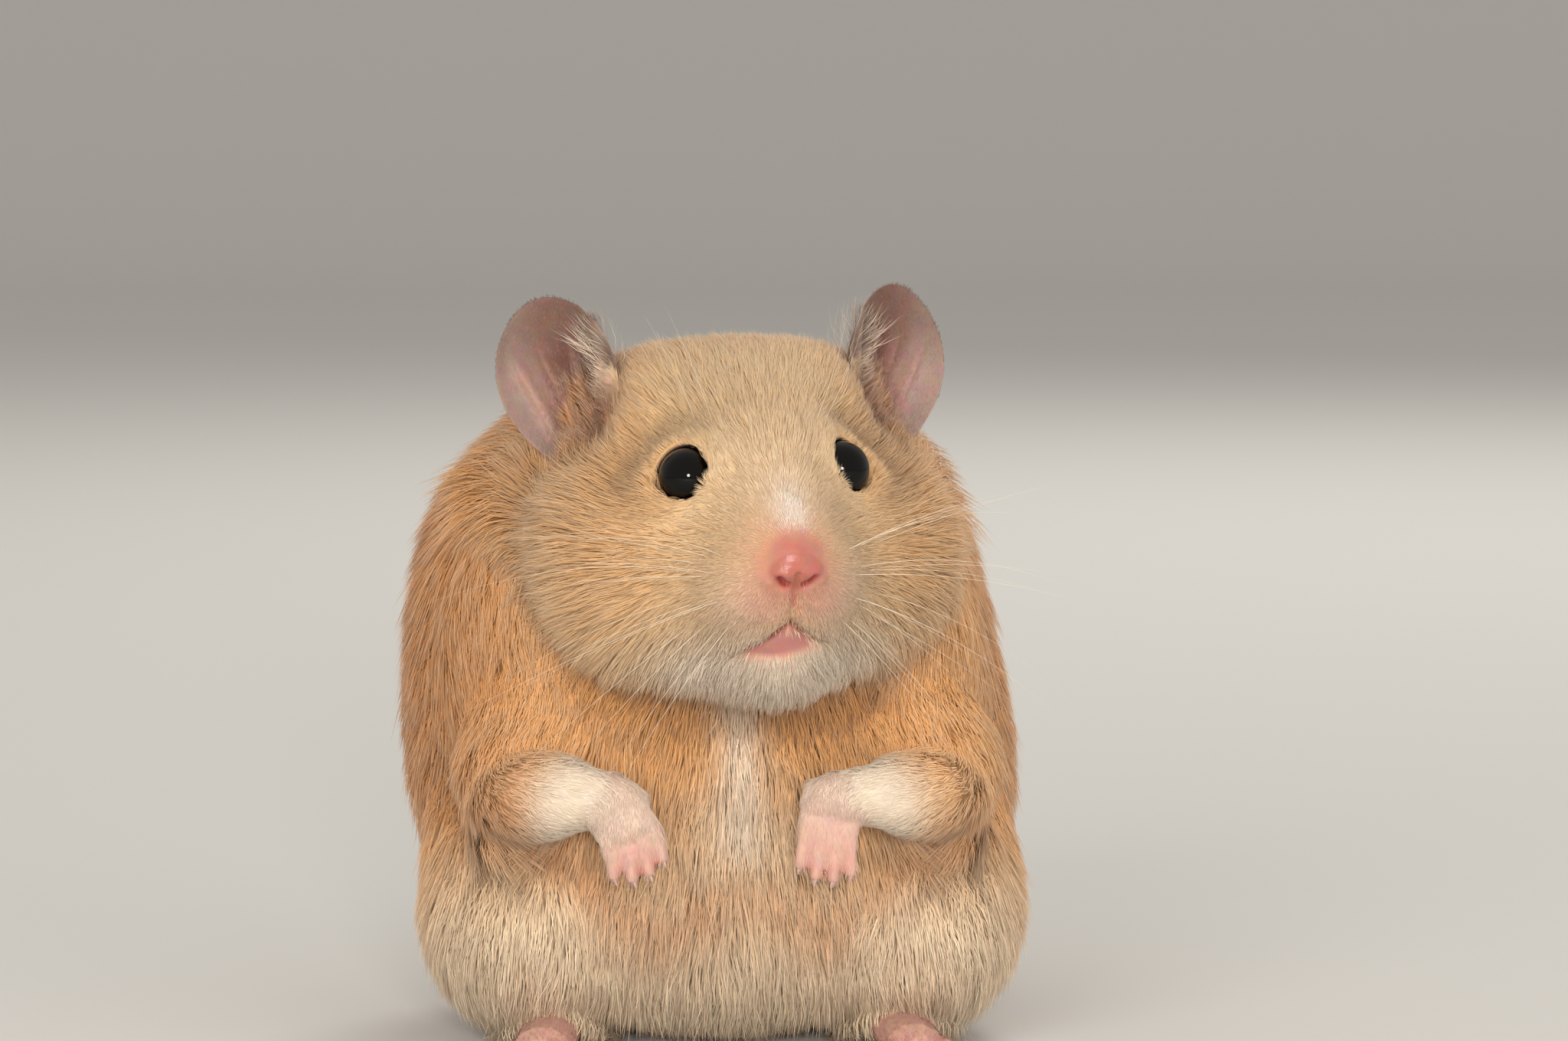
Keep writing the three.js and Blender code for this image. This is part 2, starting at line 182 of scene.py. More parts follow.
def hair_material():
    """Fine keratin hair: dull from the side, with a soft sheen where many hairs graze the light."""
    material = new_material("fine hair")
    paint = add_node(material, "ShaderNodeAttribute", {"attribute_name": "marking"})
    return shade(
        material, Base_Color=paint.outputs["Color"], Roughness=0.62, IOR=1.55, Specular_IOR_Level=0.28,
        Sheen_Weight=0.12, Sheen_Roughness=0.5,
    )


def eye_material():
    """A wet cornea over a black-brown iris: near mirror gloss on near black."""
    material = new_material("wet dark eye")
    dark = (*linear("#070504"), 1)
    return shade(material, Base_Color=dark, Roughness=0.05, IOR=1.38, Specular_IOR_Level=0.35)


def horn_material():
    """Thin claw horn: pale, waxy and a little see-through."""
    material = new_material("claw horn")
    return shade(
        material, Base_Color=(*linear("#dcb5a6"), 1), Roughness=0.35, IOR=1.54,
        Subsurface_Weight=0.3, Subsurface_Radius=(1.0, 0.7, 0.5), Subsurface_Scale=0.4 * MM,
    )


def whisker_material():
    """A whisker: a stiff, smooth hair that is almost clear at its tip."""
    material = new_material("whisker hair")
    return shade(material, Base_Color=(*linear("#f3e6d2"), 1), Roughness=0.35, IOR=1.55)


# ---- Meshes ----


def link(mesh, name):
    obj = bpy.data.objects.new(name, mesh)
    bpy.context.scene.collection.objects.link(obj)
    return obj


def solid_copy(names, swell=0.0):
    """One bmesh of these nodes, merged and swollen so that thin cuts close."""
    joined = bmesh.new()
    for name in names:
        part = bmesh.new()
        part.from_mesh(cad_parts[name].data)
        bmesh.ops.remove_doubles(part, verts=part.verts, dist=1e-6)
        part.normal_update()
        for vert in part.verts:
            vert.co += vert.normal * swell
        mesh = bpy.data.meshes.new("part")
        part.to_mesh(mesh)
        part.free()
        joined.from_mesh(mesh)
        bpy.data.meshes.remove(mesh)
    return joined


def finished(bm, name, *modifiers):
    """An object from a bmesh, with the modifiers applied."""
    mesh = bpy.data.meshes.new(name)
    bm.to_mesh(mesh)
    bm.free()
    obj = link(mesh, name)
    for kind, settings in modifiers:
        modifier = obj.modifiers.new(kind.lower(), kind)
        for key, value in settings.items():
            setattr(modifier, key, value)
    return applied(obj)


def applied(obj):
    evaluated = obj.evaluated_get(bpy.context.evaluated_depsgraph_get())
    mesh = bpy.data.meshes.new_from_object(evaluated)
    obj.modifiers.clear()
    old, obj.data = obj.data, mesh
    bpy.data.meshes.remove(old)
    mesh.name = obj.name
    return obj


def remesh(voxel_mm, smoothing):
    return (
        ("REMESH", {"mode": "VOXEL", "voxel_size": voxel_mm * MM, "use_smooth_shade": True}),
        ("SMOOTH", {"factor": 0.5, "iterations": smoothing}),
    )


def places_of(mesh):
    places = np.empty(len(mesh.vertices) * 3)
    mesh.vertices.foreach_get("co", places)
    return places.reshape(-1, 3)


def normals_of(mesh):
    normals = np.empty(len(mesh.vertices) * 3, np.float32)
    mesh.vertices.foreach_get("normal", normals)
    return normals.reshape(-1, 3).astype(float)


def edges_of(mesh):
    edges = np.empty(len(mesh.edges) * 2, np.int32)
    mesh.edges.foreach_get("vertices", edges)
    return edges.reshape(-1, 2)


def move_to(mesh, places):
    mesh.vertices.foreach_set("co", places.ravel())
    mesh.update()


def spread(values, edges, rounds):
    """Averages each vertex with its neighbours, so that values run into each other over the surface."""
    a, b = edges.T
    count = np.bincount(edges.ravel(), minlength=len(values)) + 1.0
    for _ in range(rounds):
        total = values.copy()
        for k in range(values.shape[1]):
            total[:, k] += (
                np.bincount(a, values[b, k], len(values)) + np.bincount(b, values[a, k], len(values))
            )
        values = total / count[:, None]
    return values


def set_attribute(mesh, name, kind, field, values):
    layer = mesh.attributes.get(name) or mesh.attributes.new(name, kind, "POINT")
    number = np.int32 if kind == "INT" else np.float32
    layer.data.foreach_set(field, np.ascontiguousarray(values, number).ravel())


def get_attribute(mesh, name, field, width=1):
    values = np.empty(len(mesh.vertices) * width, np.float32)
    mesh.attributes[name].data.foreach_get(field, values)
    return values.reshape(-1, width).astype(float)


# ---- The coat's recipe: what grows where ----

# Part of the body: coat depth, hair length and tuft width in millimetres, then how closely the tufts stand,
# compared with each other, and how much they gather into locks.
RECIPE = {
    "head": (2.2, 5.2, 0.095, 2.7, 0.26),
    "lower_jaw": (1.2, 4.6, 0.08, 2.7, 0.35),
    "nose": (0.0, 0.6, 0.05, 1.5, 0.0),
    "neck": (3.4, 8.0, 0.14, 1.3, 0.2),
    "trunk": (3.8, 8.4, 0.165, 0.9, 0.18),
    "upper_arm": (2.4, 6.4, 0.14, 1.3, 0.18),
    "forearm": (1.2, 3.4, 0.1, 2.4, 0.2),
    "forepaw": (0.25, 2.8, 0.08, 8.0, 0.12),
    "thigh": (3.2, 7.4, 0.165, 0.9, 0.18),
    "hind_foot": (0.2, 1.5, 0.075, 0.9, 0.2),
    "tail": (0.3, 2.0, 0.1, 1.8, 0.2),
    "ear": (0.04, 0.8, 0.05, 1.6, 0.05),
}

COLOURS = {
    "cream": "#eec99b",
    "apricot": "#e2a96f",
    "gold": "#c57d40",
    "white": "#f4e1cc",
    "blaze": "#fff4e8",
    "belly": "#f0d8b9",
    "ear_rim": "#9f857c",
    "ear_inside": "#87594b",
    # Painted shade for the ear's hollow, darkest by the head's side.
    "ear_fold": "#4a2720",
    # Painted light: a lighter pink for the ear's raised ridges.
    "ear_ridge": "#c4988a",
    # The ear tip's own grey, darkened further as painted shadow.
    "ear_tip": "#6e554b",
    "pink": "#cd8b7b",
    "paw": "#d6ad9d",
    "nose": "#b06a5e",
    # Painted shade inside the nostril slits.
    "nostril": "#93302a",
    "lip": "#ad756b",
    # Painted shade for the crease along the mouth's line.
    "lip_line": "#6e2c26",
    "lid": "#1a100d",
}


# How far each foot's digits show, back from the claws, in millimetres: the left hand hangs from its knuckles.
DIGIT_REACH = {"forepaw_left": 9.4, "forepaw_right": 6.0, "hind_foot_left": 5.6, "hind_foot_right": 5.6}


def kind_of(node):
    return node.replace("_left", "").replace("_right", "")


def side_of(node):
    return 1 if node.endswith("left") else -1 if node.endswith("right") else 0


def parts_of(points):
    """For each point, the index in FLESH of the nearest node."""
    triangles, owners = [], []
    for index, name in enumerate(FLESH):
        bm = solid_copy([name])
        triangles += [[tuple(v.co) for v in face.verts] for face in bm.faces]
        owners += [index] * len(bm.faces)
        bm.free()
    corners = [corner for triangle in triangles for corner in triangle]
    tree = BVHTree.FromPolygons(corners, [(3 * i, 3 * i + 1, 3 * i + 2) for i in range(len(triangles))])
    return np.array([owners[tree.find_nearest(point)[2]] for point in points])


def grain_of(points, parts):
    """The way the hair lies at each point, before it is laid along the skin."""
    lie = np.tile([0.0, 0.45, -1.0], (len(points), 1))
    for index, node in enumerate(FLESH):
        at = parts == index
        kind, side = kind_of(node), side_of(node)
        if kind in ("head", "lower_jaw", "nose"):
            lie[at] = unit(points[at] - (NOSE + AHEAD * 2 * MM)) + np.array([0, 0.25, -0.15])
            lie[at, 2] -= 0.9 * ramp(-in_head(points[at])[:, 2], 7, 15)
        elif kind == "neck":
            lie[at] = unit(points[at] - NOSE) + np.array([0, 0.2, -0.6])
        elif kind == "upper_arm":
            lie[at] = unit(middle(f"forearm_{node[10:]}") - middle(node)) + np.array([0.3 * side, 0, -0.3])
        elif kind == "forearm":
            lie[at] = unit(middle(f"forepaw_{node[8:]}") - middle(node))
        elif kind == "forepaw":
            lie[at] = (0.0, -0.2, -1.0)
        elif kind == "thigh":
            lie[at] = (0.1 * side, -0.1, -1.0)
        elif kind == "hind_foot":
            lie[at] = (0.0, -1.0, -0.1)
        elif kind == "tail":
            lie[at] = (0.0, 1.0, -0.5)
        elif kind == "ear":
            lie[at] = (0.25 * side, 0.0, 1.0)
    return lie


def from_eye(points):
    """Distance to the nearer eye's middle, in millimetres."""
    return np.min([np.linalg.norm(points - eye, axis=1) for eye in EYES.values()], axis=0) / MM


def near_wrist(points, parts):
    """1 on the forelegs at the paw, falling to 0 at the elbow."""
    to_paws = [np.linalg.norm(points - middle(f"forepaw_{side}"), axis=1) for side in SIDES]
    distance = np.min(to_paws, axis=0) / MM
    foreleg = np.array([kind_of(n) in ("forearm", "forepaw") for n in FLESH])[parts]
    return (1 - ramp(distance, 7, 14)) * foreleg


def on_digits(points):
    """1 on the digits of the forepaws, falling to 0 over the palm."""
    share = np.zeros(len(points))
    for side in SIDES:
        end = np.mean([middle(name) for name in CLAWS if name.startswith(f"foreclaw_{side}")], axis=0)
        reach = DIGIT_REACH[f"forepaw_{side}"]
        away = np.linalg.norm(points - end, axis=1) / MM
        share = np.maximum(share, 1 - ramp(away, reach * 0.5, reach * 1.15))
    return share


def coat_depth(points, parts, recipe):
    """How far the skin lies inside the tips of the coat, in millimetres."""
    from_nose = np.linalg.norm(points - NOSE, axis=1) / MM
    depth = recipe[:, 0] * (ramp(from_nose, 3.0, 22.0) * 0.9 + 0.1)
    depth *= ramp(from_eye(points), EYE_MM + 0.2, EYE_MM + 4.6) * 0.92 + 0.08
    return depth * (1 - 0.6 * near_wrist(points, parts))


def blend(colour, name, share):
    return blend_colours(colour, linear(COLOURS[name]), np.clip(share, 0, 1))


def ear_frame(side):
    """An ear's middle, and its ways across (towards the head's middle), out of its hollow, and up."""
    bm = solid_copy([f"ear_{side}"])
    places = np.array([v.co for v in bm.verts])
    bm.free()
    centre = places.mean(0)
    axes = np.linalg.svd(places - centre, full_matrices=False)[2]
    up, across, out = axes[0], axes[1], axes[2]
    up = up * np.sign(up[2])
    across = across * -np.sign(across @ ACROSS * SIDES[side])
    out = out * np.sign(out @ AHEAD)
    return centre, np.array([across, out, up])


EARS = {side: ear_frame(side) for side in SIDES}
EAR_HALF_WIDTH, EAR_HALF_HEIGHT = 7.3, 10.75  # in millimetres


def in_ear(points, side):
    centre, axes = EARS[side]
    return (points - centre) @ axes.T / MM


def ear_ridges(across, up):
    """1 along the ridges that rise from an ear's foot and fan out."""
    paths = [(3.6, 0.14, 0.6), (1.7, 0.0, 0.5), (-0.1, -0.12, 0.5), (-2.0, -0.2, 0.6)]
    ridge = sum(hill(across - start - lean * (up + 8), width) for start, lean, width in paths)
    return ridge * (1 - ramp(up, 0, 7))


def long_ear_hair(across, out, up):
    """1 along an ear's inner margin, where long hairs from the head's side cross the hollow."""
    margin = ramp(across + 0.25 * np.minimum(up, 0), 3.6, 5.8)
    return margin * (1 - ramp(up, 2, 7)) * (1 - ramp(-out, 0.5, 2.5))


def over_hollow(points, side):
    """1 on the head in front of an ear's hollow, where the coat is cleared to show it."""
    across, out, up = in_ear(points, side).T
    within = 1 - ramp(np.hypot((across - 1.5) / 6.5, (up + 1) / 9.5), 0.6, 1.2)
    return within * ramp(out, -1.0, 1.0) * (1 - ramp(out, 6, 10))


def ear_colour(across, out, up):
    """The bare skin and down of an ear: pale at the margin; painted shade darkens the hollow by the head,
    painted light brightens the ridges, and the tip is its own grey darkened further by painted shadow.
    """
    ear = np.tile(linear(COLOURS["ear_inside"]), (len(up), 1))
    outer = ramp(np.hypot(across / EAR_HALF_WIDTH, up / EAR_HALF_HEIGHT), 0.86, 0.98) * ramp(-across, -3, 0)
    ear = blend(ear, "ear_rim", ramp(-across, 1.2, 3.8) + outer)
    # Painted shade, darkest in the hollow by the head's side.
    ear = blend(ear, "ear_fold", 0.9 * hill(across - 3.4, 4.6) * (1 - ramp(up, 2, 8)))
    # Painted light along the ear's ridges.
    ear = blend(ear, "ear_ridge", 0.8 * ear_ridges(across, up))
    # The tip's own grey, darkened further as painted shadow.
    ear = blend(ear, "ear_tip", 0.7 * ramp(up, 1, 7))
    return blend(ear, "white", 0.8 * long_ear_hair(across, out, up))


def near_ear_base(points):
    """1 on the head round the foot of each ear, falling to 0 a few millimetres away."""
    near = np.zeros(len(points))
    for side in SIDES:
        across, out, up = in_ear(points, side).T
        distance = np.sqrt((across / 1.3 - 1) ** 2 + (out - 1) ** 2 + (up + 8) ** 2)
        near = np.maximum(near, 1 - ramp(distance, 5, 11))
    return near


def markings(points, parts):
    """The coat's colour at each point, with painted shade in the crease under the forepaws, on the right
    flank, and in the ear's hollow where the head shows it.
    """
    r, f, u = in_head(points).T
    x, y, z = (points / MM).T
    kinds = np.array([kind_of(n) for n in FLESH])[parts]
    colour = np.tile(linear(COLOURS["apricot"]), (len(points), 1))

    x = x - HEAD[0] / MM
    front = 1 - ramp(y, -20, -4)
    colour = blend(colour, "gold", 0.6 * ramp(y, -14, 12) * ramp(z, 14, 42))
    # Painted shade: the animal's right flank only is darkened towards gold.
    colour = blend(colour, "gold", 0.35 * ramp(-x, 22, 30) * ramp(z, 24, 36))
    colour = blend(colour, "belly", 0.95 * (1 - ramp(z + 0.5 * (y + 16), 10, 36)) * (1 - ramp(y, -18, 12)))
    # Painted shade: a gold band in the crease under the forepaws, between chest and belly.
    shade_under_arms = to_path(np.column_stack([np.abs(x), z]), [(0, 25), (9, 19), (16, 23), (28, 31)])
    colour = blend(colour, "gold", 0.5 * hill(shade_under_arms, 3.0) * front)
    colour = blend(colour, "belly", 0.6 * hill(np.hypot(x / 7, (z - 31) / 6), 1.0) * front)
    colour = blend(colour, "white", hill(x + 0.9, 1.9) * front * ramp(z, 26, 32))
    thigh = blend(colour, "belly", 0.5 * (1 - ramp(y, -18, 8)) * (1 - ramp(z + 0.5 * (y + 16), 16, 30)))
    colour = np.where((kinds == "thigh")[:, None], thigh, colour)
    colour = blend(colour, "white", 1.2 * near_wrist(points, parts))

    face = np.tile(linear(COLOURS["cream"]), (len(points), 1))
    face = blend(face, "apricot", 0.6 * ramp(np.abs(r), 6, 16) * ramp(u, -16, -4))
    face = blend(face, "gold", 0.15 * near_ear_base(points) * ramp(u, 4, 9))
    face = blend(face, "gold", 0.4 * (1 - ramp(f, -14, 4)) * ramp(u, -6, 6))
    chin = (1 - ramp(u, -15, -9.5)) * ramp(f, 3, 10) * (1 - 0.6 * ramp(np.abs(r), 8, 14))
    face = blend(face, "white", chin)
    face = blend(face, "white", 0.6 * hill(np.hypot(np.abs(r) - 4.5, u + 8.5), 3.6) * ramp(f, 8, 14))
    face = blend(face, "white", 0.9 * hill(np.hypot(r - 0.3, (u - 1.0) / 1.5), 1.7) * ramp(f, 10, 15))
    face = blend(face, "white", 0.35 * hill(np.hypot(r, u - 3), 6.0) * ramp(f, 8, 14))
    face = blend(face, "pink", 0.6 * hill(np.hypot(r / 4.4, (u + 4.2) / 4.2), 1.0) * ramp(f, 10, 16))
    muzzle = hill(np.hypot((np.abs(r) - 3.2) / 3.2, (u + 8.0) / 3.0), 1.0) * ramp(f, 10, 16)
    face = blend(face, "pink", 0.55 * muzzle)
    face = blend(face, "blaze", hill(np.hypot(r - 0.3, (u - 0.8) / 1.4), 1.5) * ramp(f, 10, 15))
    head = np.isin(kinds, ("head", "lower_jaw", "nose"))
    colour = np.where(head[:, None], face, colour)

    for kind, paint in (("forepaw", "white"), ("hind_foot", "pink"), ("tail", "pink")):
        colour[kinds == kind] = linear(COLOURS[paint])
    hand = blend(colour, "paw", 0.35 + 0.5 * on_digits(points))
    colour = np.where((kinds == "forepaw")[:, None], hand, colour)
    for side in SIDES:
        across, out, up = in_ear(points, side).T
        ear = ear_colour(across, out, up)
        # The head in front of each ear's hollow takes the ear's colours, painted shade included.
        colour = blend_colours(colour, ear, 0.9 * head * over_hollow(points, side))
        own = np.array([n == f"ear_{side}" for n in FLESH])[parts]
        colour = np.where(own[:, None], ear, colour)
    return colour


# ---- Skin ----


def digit_chain(bm, start, end, radii):
    """Balls along a slightly bowed line, close enough to run into one digit with soft knuckles."""
    count = 11
    bow = Vector((0, 0, 1)).cross(end - start).cross(end - start).normalized()
    for i in range(count):
        t = i / (count - 1)
        radius = radii[0] + (radii[1] - radii[0]) * t + 0.06 * MM * math.cos(4 * math.pi * t)
        at = start.lerp(end, t) - bow * 0.7 * MM * math.sin(math.pi * t)
        bmesh.ops.create_icosphere(bm, subdivisions=2, radius=radius, matrix=Matrix.Translation(at))


def wrist_of(side):
    return middle(f"forepaw_{side}") * 0.7 + middle(f"forearm_{side}") * 0.3


def claw_roots(node):
    """Where each of a foot's claws meets its digit."""
    stem = node.replace("forepaw", "foreclaw").replace("hind_foot", "hindclaw")
    roots = []
    for name in CLAWS:
        if name.startswith(stem):
            places = np.array([v.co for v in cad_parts[name].data.vertices])
            nearest = np.argsort(np.linalg.norm(places - middle(node), axis=1))
            roots.append(Vector(places[nearest[:8]].mean(0)))
    return roots


def along_digits(node):
    """The way a foot's digits point: from its middle, square to the row of its claws."""
    roots = claw_roots(node)
    row = (roots[-1] - roots[0]).normalized()
    ahead = sum(roots, Vector()) / len(roots) - Vector(middle(node))
    return (ahead - row * ahead.dot(row)).normalized()


def foot_with_digits(node):
    """A paw or foot whose round digits reach each claw."""
    fore = node.startswith("forepaw")
    reach = DIGIT_REACH[node]
    bm = solid_copy([node])
    roots = claw_roots(node)
    palm = Vector(middle(node))
    ahead = along_digits(node)
    shortest = min(roots, key=lambda root: (root - palm).dot(ahead))
    everything = [*bm.verts, *bm.edges, *bm.faces]
    knuckles = shortest - ahead * (reach - 3.4) * MM
    bmesh.ops.bisect_plane(bm, geom=everything, plane_co=knuckles, plane_no=ahead, clear_outer=True)
    bmesh.ops.holes_fill(bm, edges=bm.edges)
    bmesh.ops.triangulate(bm, faces=bm.faces)
    radii = (1.08 * MM, 0.8 * MM) if fore else (1.2 * MM, 0.95 * MM)
    starts = []
    for root in roots:
        start = root - ahead * reach * MM
        starts.append(start.lerp(palm + ahead * (start - palm).dot(ahead), 0.12 if fore else 0.2))
        digit_chain(bm, starts[-1], root, radii)
    if fore:
        for i in range(len(roots) - 1):
            start, end = (starts[i] + starts[i + 1]) / 2, (roots[i] + roots[i + 1]) / 2
            digit_chain(bm, start, end.lerp(start, 0.13 if reach > 8 else 0.2), (0.8 * MM, 0.6 * MM))
    if fore:
        forearm = Vector(middle(node.replace("forepaw", "forearm")))
        digit_chain(bm, palm - ahead * 1.2 * MM, palm.lerp(forearm, 0.55) - ahead * MM, (2.8 * MM, 3.4 * MM))
    return finished(bm, node + "_skin", *remesh(0.21, 3), ("DECIMATE", {"ratio": 0.3}))


def gap_between_digits(points, node):
    """1 where a point lies between two neighbouring digits of a foot."""
    roots = claw_roots(node)
    ahead = along_digits(node)
    gap = np.zeros(len(points))
    for a, b in zip(roots[:-1], roots[1:]):
        end = (a + b) / 2
        distance = to_path(points / MM, [tuple((end - ahead * DIGIT_REACH[node] * MM) / MM), tuple(end / MM)])
        gap = np.maximum(gap, hill(distance, 0.9))
    return gap


def fold_ear(places, side):
    """Adds an ear's folds: a rolled margin, and ridges that rise from its foot."""
    across, _, up = in_ear(places, side).T
    margin = 0.45 * ramp(np.hypot(across / EAR_HALF_WIDTH, up / EAR_HALF_HEIGHT), 0.84, 1.0)
    return places + EARS[side][1][1] * ((1.2 * ear_ridges(across, up) + margin) * MM)[:, None]


def join_into(base, other):
    """Makes base and other one closed mesh."""
    modifier = base.modifiers.new("join", "BOOLEAN")
    modifier.operation = "UNION"
    modifier.solver = "MANIFOLD"
    modifier.object = other
    applied(base)
    bpy.data.objects.remove(other)


def heal(mesh):
    """Collapses the few slivers where joined parts share an edge, so that the skin is one closed surface."""
    bm = bmesh.new()
    bm.from_mesh(mesh)
    for _ in range(4):
        shared = [edge for edge in bm.edges if len(edge.link_faces) != 2]
        bmesh.ops.collapse(bm, edges=shared, uvs=False)
    bm.to_mesh(mesh)
    bm.free()


def refine(mesh, near):
    """Splits the edges where near is true, so that small folds can be shaped."""
    bm = bmesh.new()
    bm.from_mesh(mesh)
    bm.verts.ensure_lookup_table()
    edges = [edge for edge in bm.edges if near[edge.verts[0].index] and near[edge.verts[1].index]]
    bmesh.ops.subdivide_edges(bm, edges=edges, cuts=1, use_grid_fill=True)
    bmesh.ops.triangulate(bm, faces=[face for face in bm.faces if len(face.verts) > 4])
    bm.to_mesh(mesh)
    bm.free()


NOSTRIL = [(0.95, -6.75), (1.4, -6.55), (1.95, -5.9)]
LIP_LINE = [
    (-7.6, -14.3), (-5.2, -14.0), (-3.0, -13.2), (-1.2, -12.0),
    (0, -11.0), (1.2, -11.9), (3.0, -13.0), (4.8, -13.6),
]


def shape_face(places, normals):
    """Moves the face's vertices: nostrils, the groove below the nose, the lips and the lids."""
    r, f, u = in_head(places).T
    front = ramp(f, 9, 13)
    mirrored = np.column_stack([np.abs(r), u])
    nostril = hill(to_path(mirrored, NOSTRIL), 0.3) * ramp(f, 15, 18)
    wing = hill(to_path(mirrored, [(1.3, -5.4), (2.6, -5.2), (2.9, -6.2)]), 0.65) * ramp(f, 15, 18)
    groove = hill(to_path(mirrored, [(0, -5.6), (0, -10.8)]), 0.34) * front
    lips = to_path(np.column_stack([r, u]), LIP_LINE)
    crease = hill(lips, 0.5) * front
    lower_lip = hill(np.hypot((r + 0.4) / 3.2, (u + 13.7) / 1.3), 1.0) * front
    push = -0.8 * nostril + 0.3 * wing - 0.35 * groove - 0.7 * crease + 0.1 * lower_lip
    places = places + normals * push[:, None] * MM
    for eye in EYES.values():
        away = places - eye
        distance = np.linalg.norm(away, axis=1) / MM
        axis = unit(eye - (HEAD - AHEAD * 4 * MM + UP * 4.5 * MM))
        angle = np.degrees(np.arccos(np.clip(unit(away) @ axis, -1, 1)))
        close = distance < EYE_MM + 2.1
        behind = ramp(-(unit(away) @ AHEAD), -0.35, 0.5)
        lid = hill(angle - 65, 8) * hill(distance - EYE_MM - 0.2, 1.2) * (0.3 + 0.5 * behind)
        ball = EYE_MM + 0.06
        new = np.where(distance < EYE_MM + 0.8, ball + np.maximum(distance - ball, 0) * 0.45, distance) + lid
        places[close] = (eye + unit(away) * new[:, None] * MM)[close]
    return places


def on_lip(r, u):
    """1 on the bare lower lip, under the mouth's line."""
    under = np.interp(r, [p[0] for p in LIP_LINE], [p[1] for p in LIP_LINE]) - u
    return ramp(under, -0.3, 0.2) * (1 - ramp(np.hypot((r + 1.7) / 5.6, (u + 13.3) / 1.8), 0.6, 1.2))


def on_nose(r, u):
    """1 on the bare pad between and round the nostrils."""
    return 1 - ramp(np.hypot(r / 3.3, (u + 5.0) / 2.4), 0.75, 1.15)


def paint_skin(points, parts, colour):
    """Adds the bare skin's own colours to the coat's, and painted shade in the nostrils, along the mouth's
    line, between the digits and on the ear's skin under the long hairs that cross its hollow.
    """
    r, f, u = in_head(points).T
    mirrored = np.column_stack([np.abs(r), u])
    front = ramp(f, 10, 14)
    skin = np.isin(parts, [FLESH.index(n) for n in ("head", "lower_jaw", "nose")])
    colour = blend(colour, "apricot", 0.35 * skin)
    colour = blend(colour, "pink", 0.95 * hill(np.hypot(r / 6, (u + 6) / 7.5), 1.0) * front)
    colour = blend(colour, "pink", 0.7 * hill(np.hypot((r + 1.5) / 6.5, (u + 14) / 3), 1.0) * front)
    bridge = hill(np.hypot(r / 3.4, (u + 3.6) / 3.2), 1.0)
    colour = blend(colour, "nose", np.maximum(on_nose(r, u), bridge) * ramp(f, 13, 16))
    colour = blend(colour, "nose", 0.7 * hill(to_path(mirrored, [(0, -6.9), (0, -10.8)]), 0.8) * front)
    for side in SIDES:
        own = parts == FLESH.index(f"ear_{side}")
        # Painted shade on the ear's skin under the long hairs that cross its hollow.
        colour = blend(colour, "ear_fold", 0.8 * own * long_ear_hair(*in_ear(points, side).T))
    for node in DIGITED:
        own = parts == FLESH.index(node)
        tips = np.mean([tuple(root) for root in claw_roots(node)], axis=0)
        reach = np.linalg.norm(points - tips, axis=1) / MM
        colour = np.where(own[:, None], blend(colour, "paw", 0.9), colour)
        colour = np.where(own[:, None], blend(colour, "pink", 0.15 * (1 - ramp(reach, 3, 8))), colour)
        # Painted shade between the digits.
        shaded_gaps = blend(colour, "nose", 0.95 * gap_between_digits(points, node))
        colour = np.where(own[:, None], shaded_gaps, colour)
    colour = blend(colour, "lip", on_lip(r, u) * front)
    # Painted shade inside the nostrils.
    colour = blend(colour, "nostril", 0.9 * hill(to_path(mirrored, NOSTRIL), 0.32) * ramp(f, 15, 18))
    # Painted shade along the mouth's line.
    colour = blend(colour, "lip_line", 0.9 * hill(to_path(np.column_stack([r, u]), LIP_LINE), 0.42) * front)
    return blend(colour, "lid", 1 - ramp(from_eye(points), EYE_MM + 0.5, EYE_MM + 0.9))


def build_skin(voxel_mm):
    core = finished(solid_copy(CORE, 0.22 * MM), "skin", *remesh(voxel_mm, 10))
    mesh = core.data
    places, edges = places_of(mesh), edges_of(mesh)
    parts = parts_of(places)
    recipe = np.array([RECIPE[kind_of(n)] for n in FLESH])[parts]
    recipe = spread(recipe, edges, 24)
    normals = spread(normals_of(mesh), edges, 3)
    over = np.column_stack([over_hollow(places, side) for side in SIDES])
    depth = coat_depth(places, parts, recipe) + 3.2 * spread(over, edges, 12).max(1)
    move_to(mesh, places - unit(normals) * depth[:, None] * MM)

    for node in DIGITED:
        join_into(core, foot_with_digits(node))
    for side in SIDES:
        smoothing = ("SUBSURF", {"levels": 2, "render_levels": 2})
        ear = finished(solid_copy([f"ear_{side}"], 0.05 * MM), f"ear_{side}_skin", smoothing)
        move_to(ear.data, fold_ear(places_of(ear.data), side))
        join_into(core, ear)

    mesh = core.data
    for reach_eye, reach_mouth, centre in ((5.6, 9.0, -8.0), (5.0, 7.0, -8.0), (0.0, 3.6, -5.5)):
        places = places_of(mesh)
        r, f, u = in_head(places).T
        mouth = (np.hypot(r, (u - centre) * 0.85) < reach_mouth) & (f > 8)
        refine(mesh, (from_eye(places) < reach_eye) | mouth)
    heal(mesh)
    places, edges = places_of(mesh), edges_of(mesh)
    r, f, u = in_head(places).T
    soft = np.where((f > 6) | (from_eye(places) < 6), 1.0, 0.0)[:, None]
    places = places + (spread(places, edges, 4) - places) * soft
    for side in SIDES:
        joint = hill(np.linalg.norm(places - wrist_of(side), axis=1) / MM, 4.5)[:, None]
        for _ in range(12):
            places = places + (spread(places, edges, 4) - places) * joint
    move_to(mesh, places)
    move_to(mesh, shape_face(places, normals_of(mesh)))
    return core


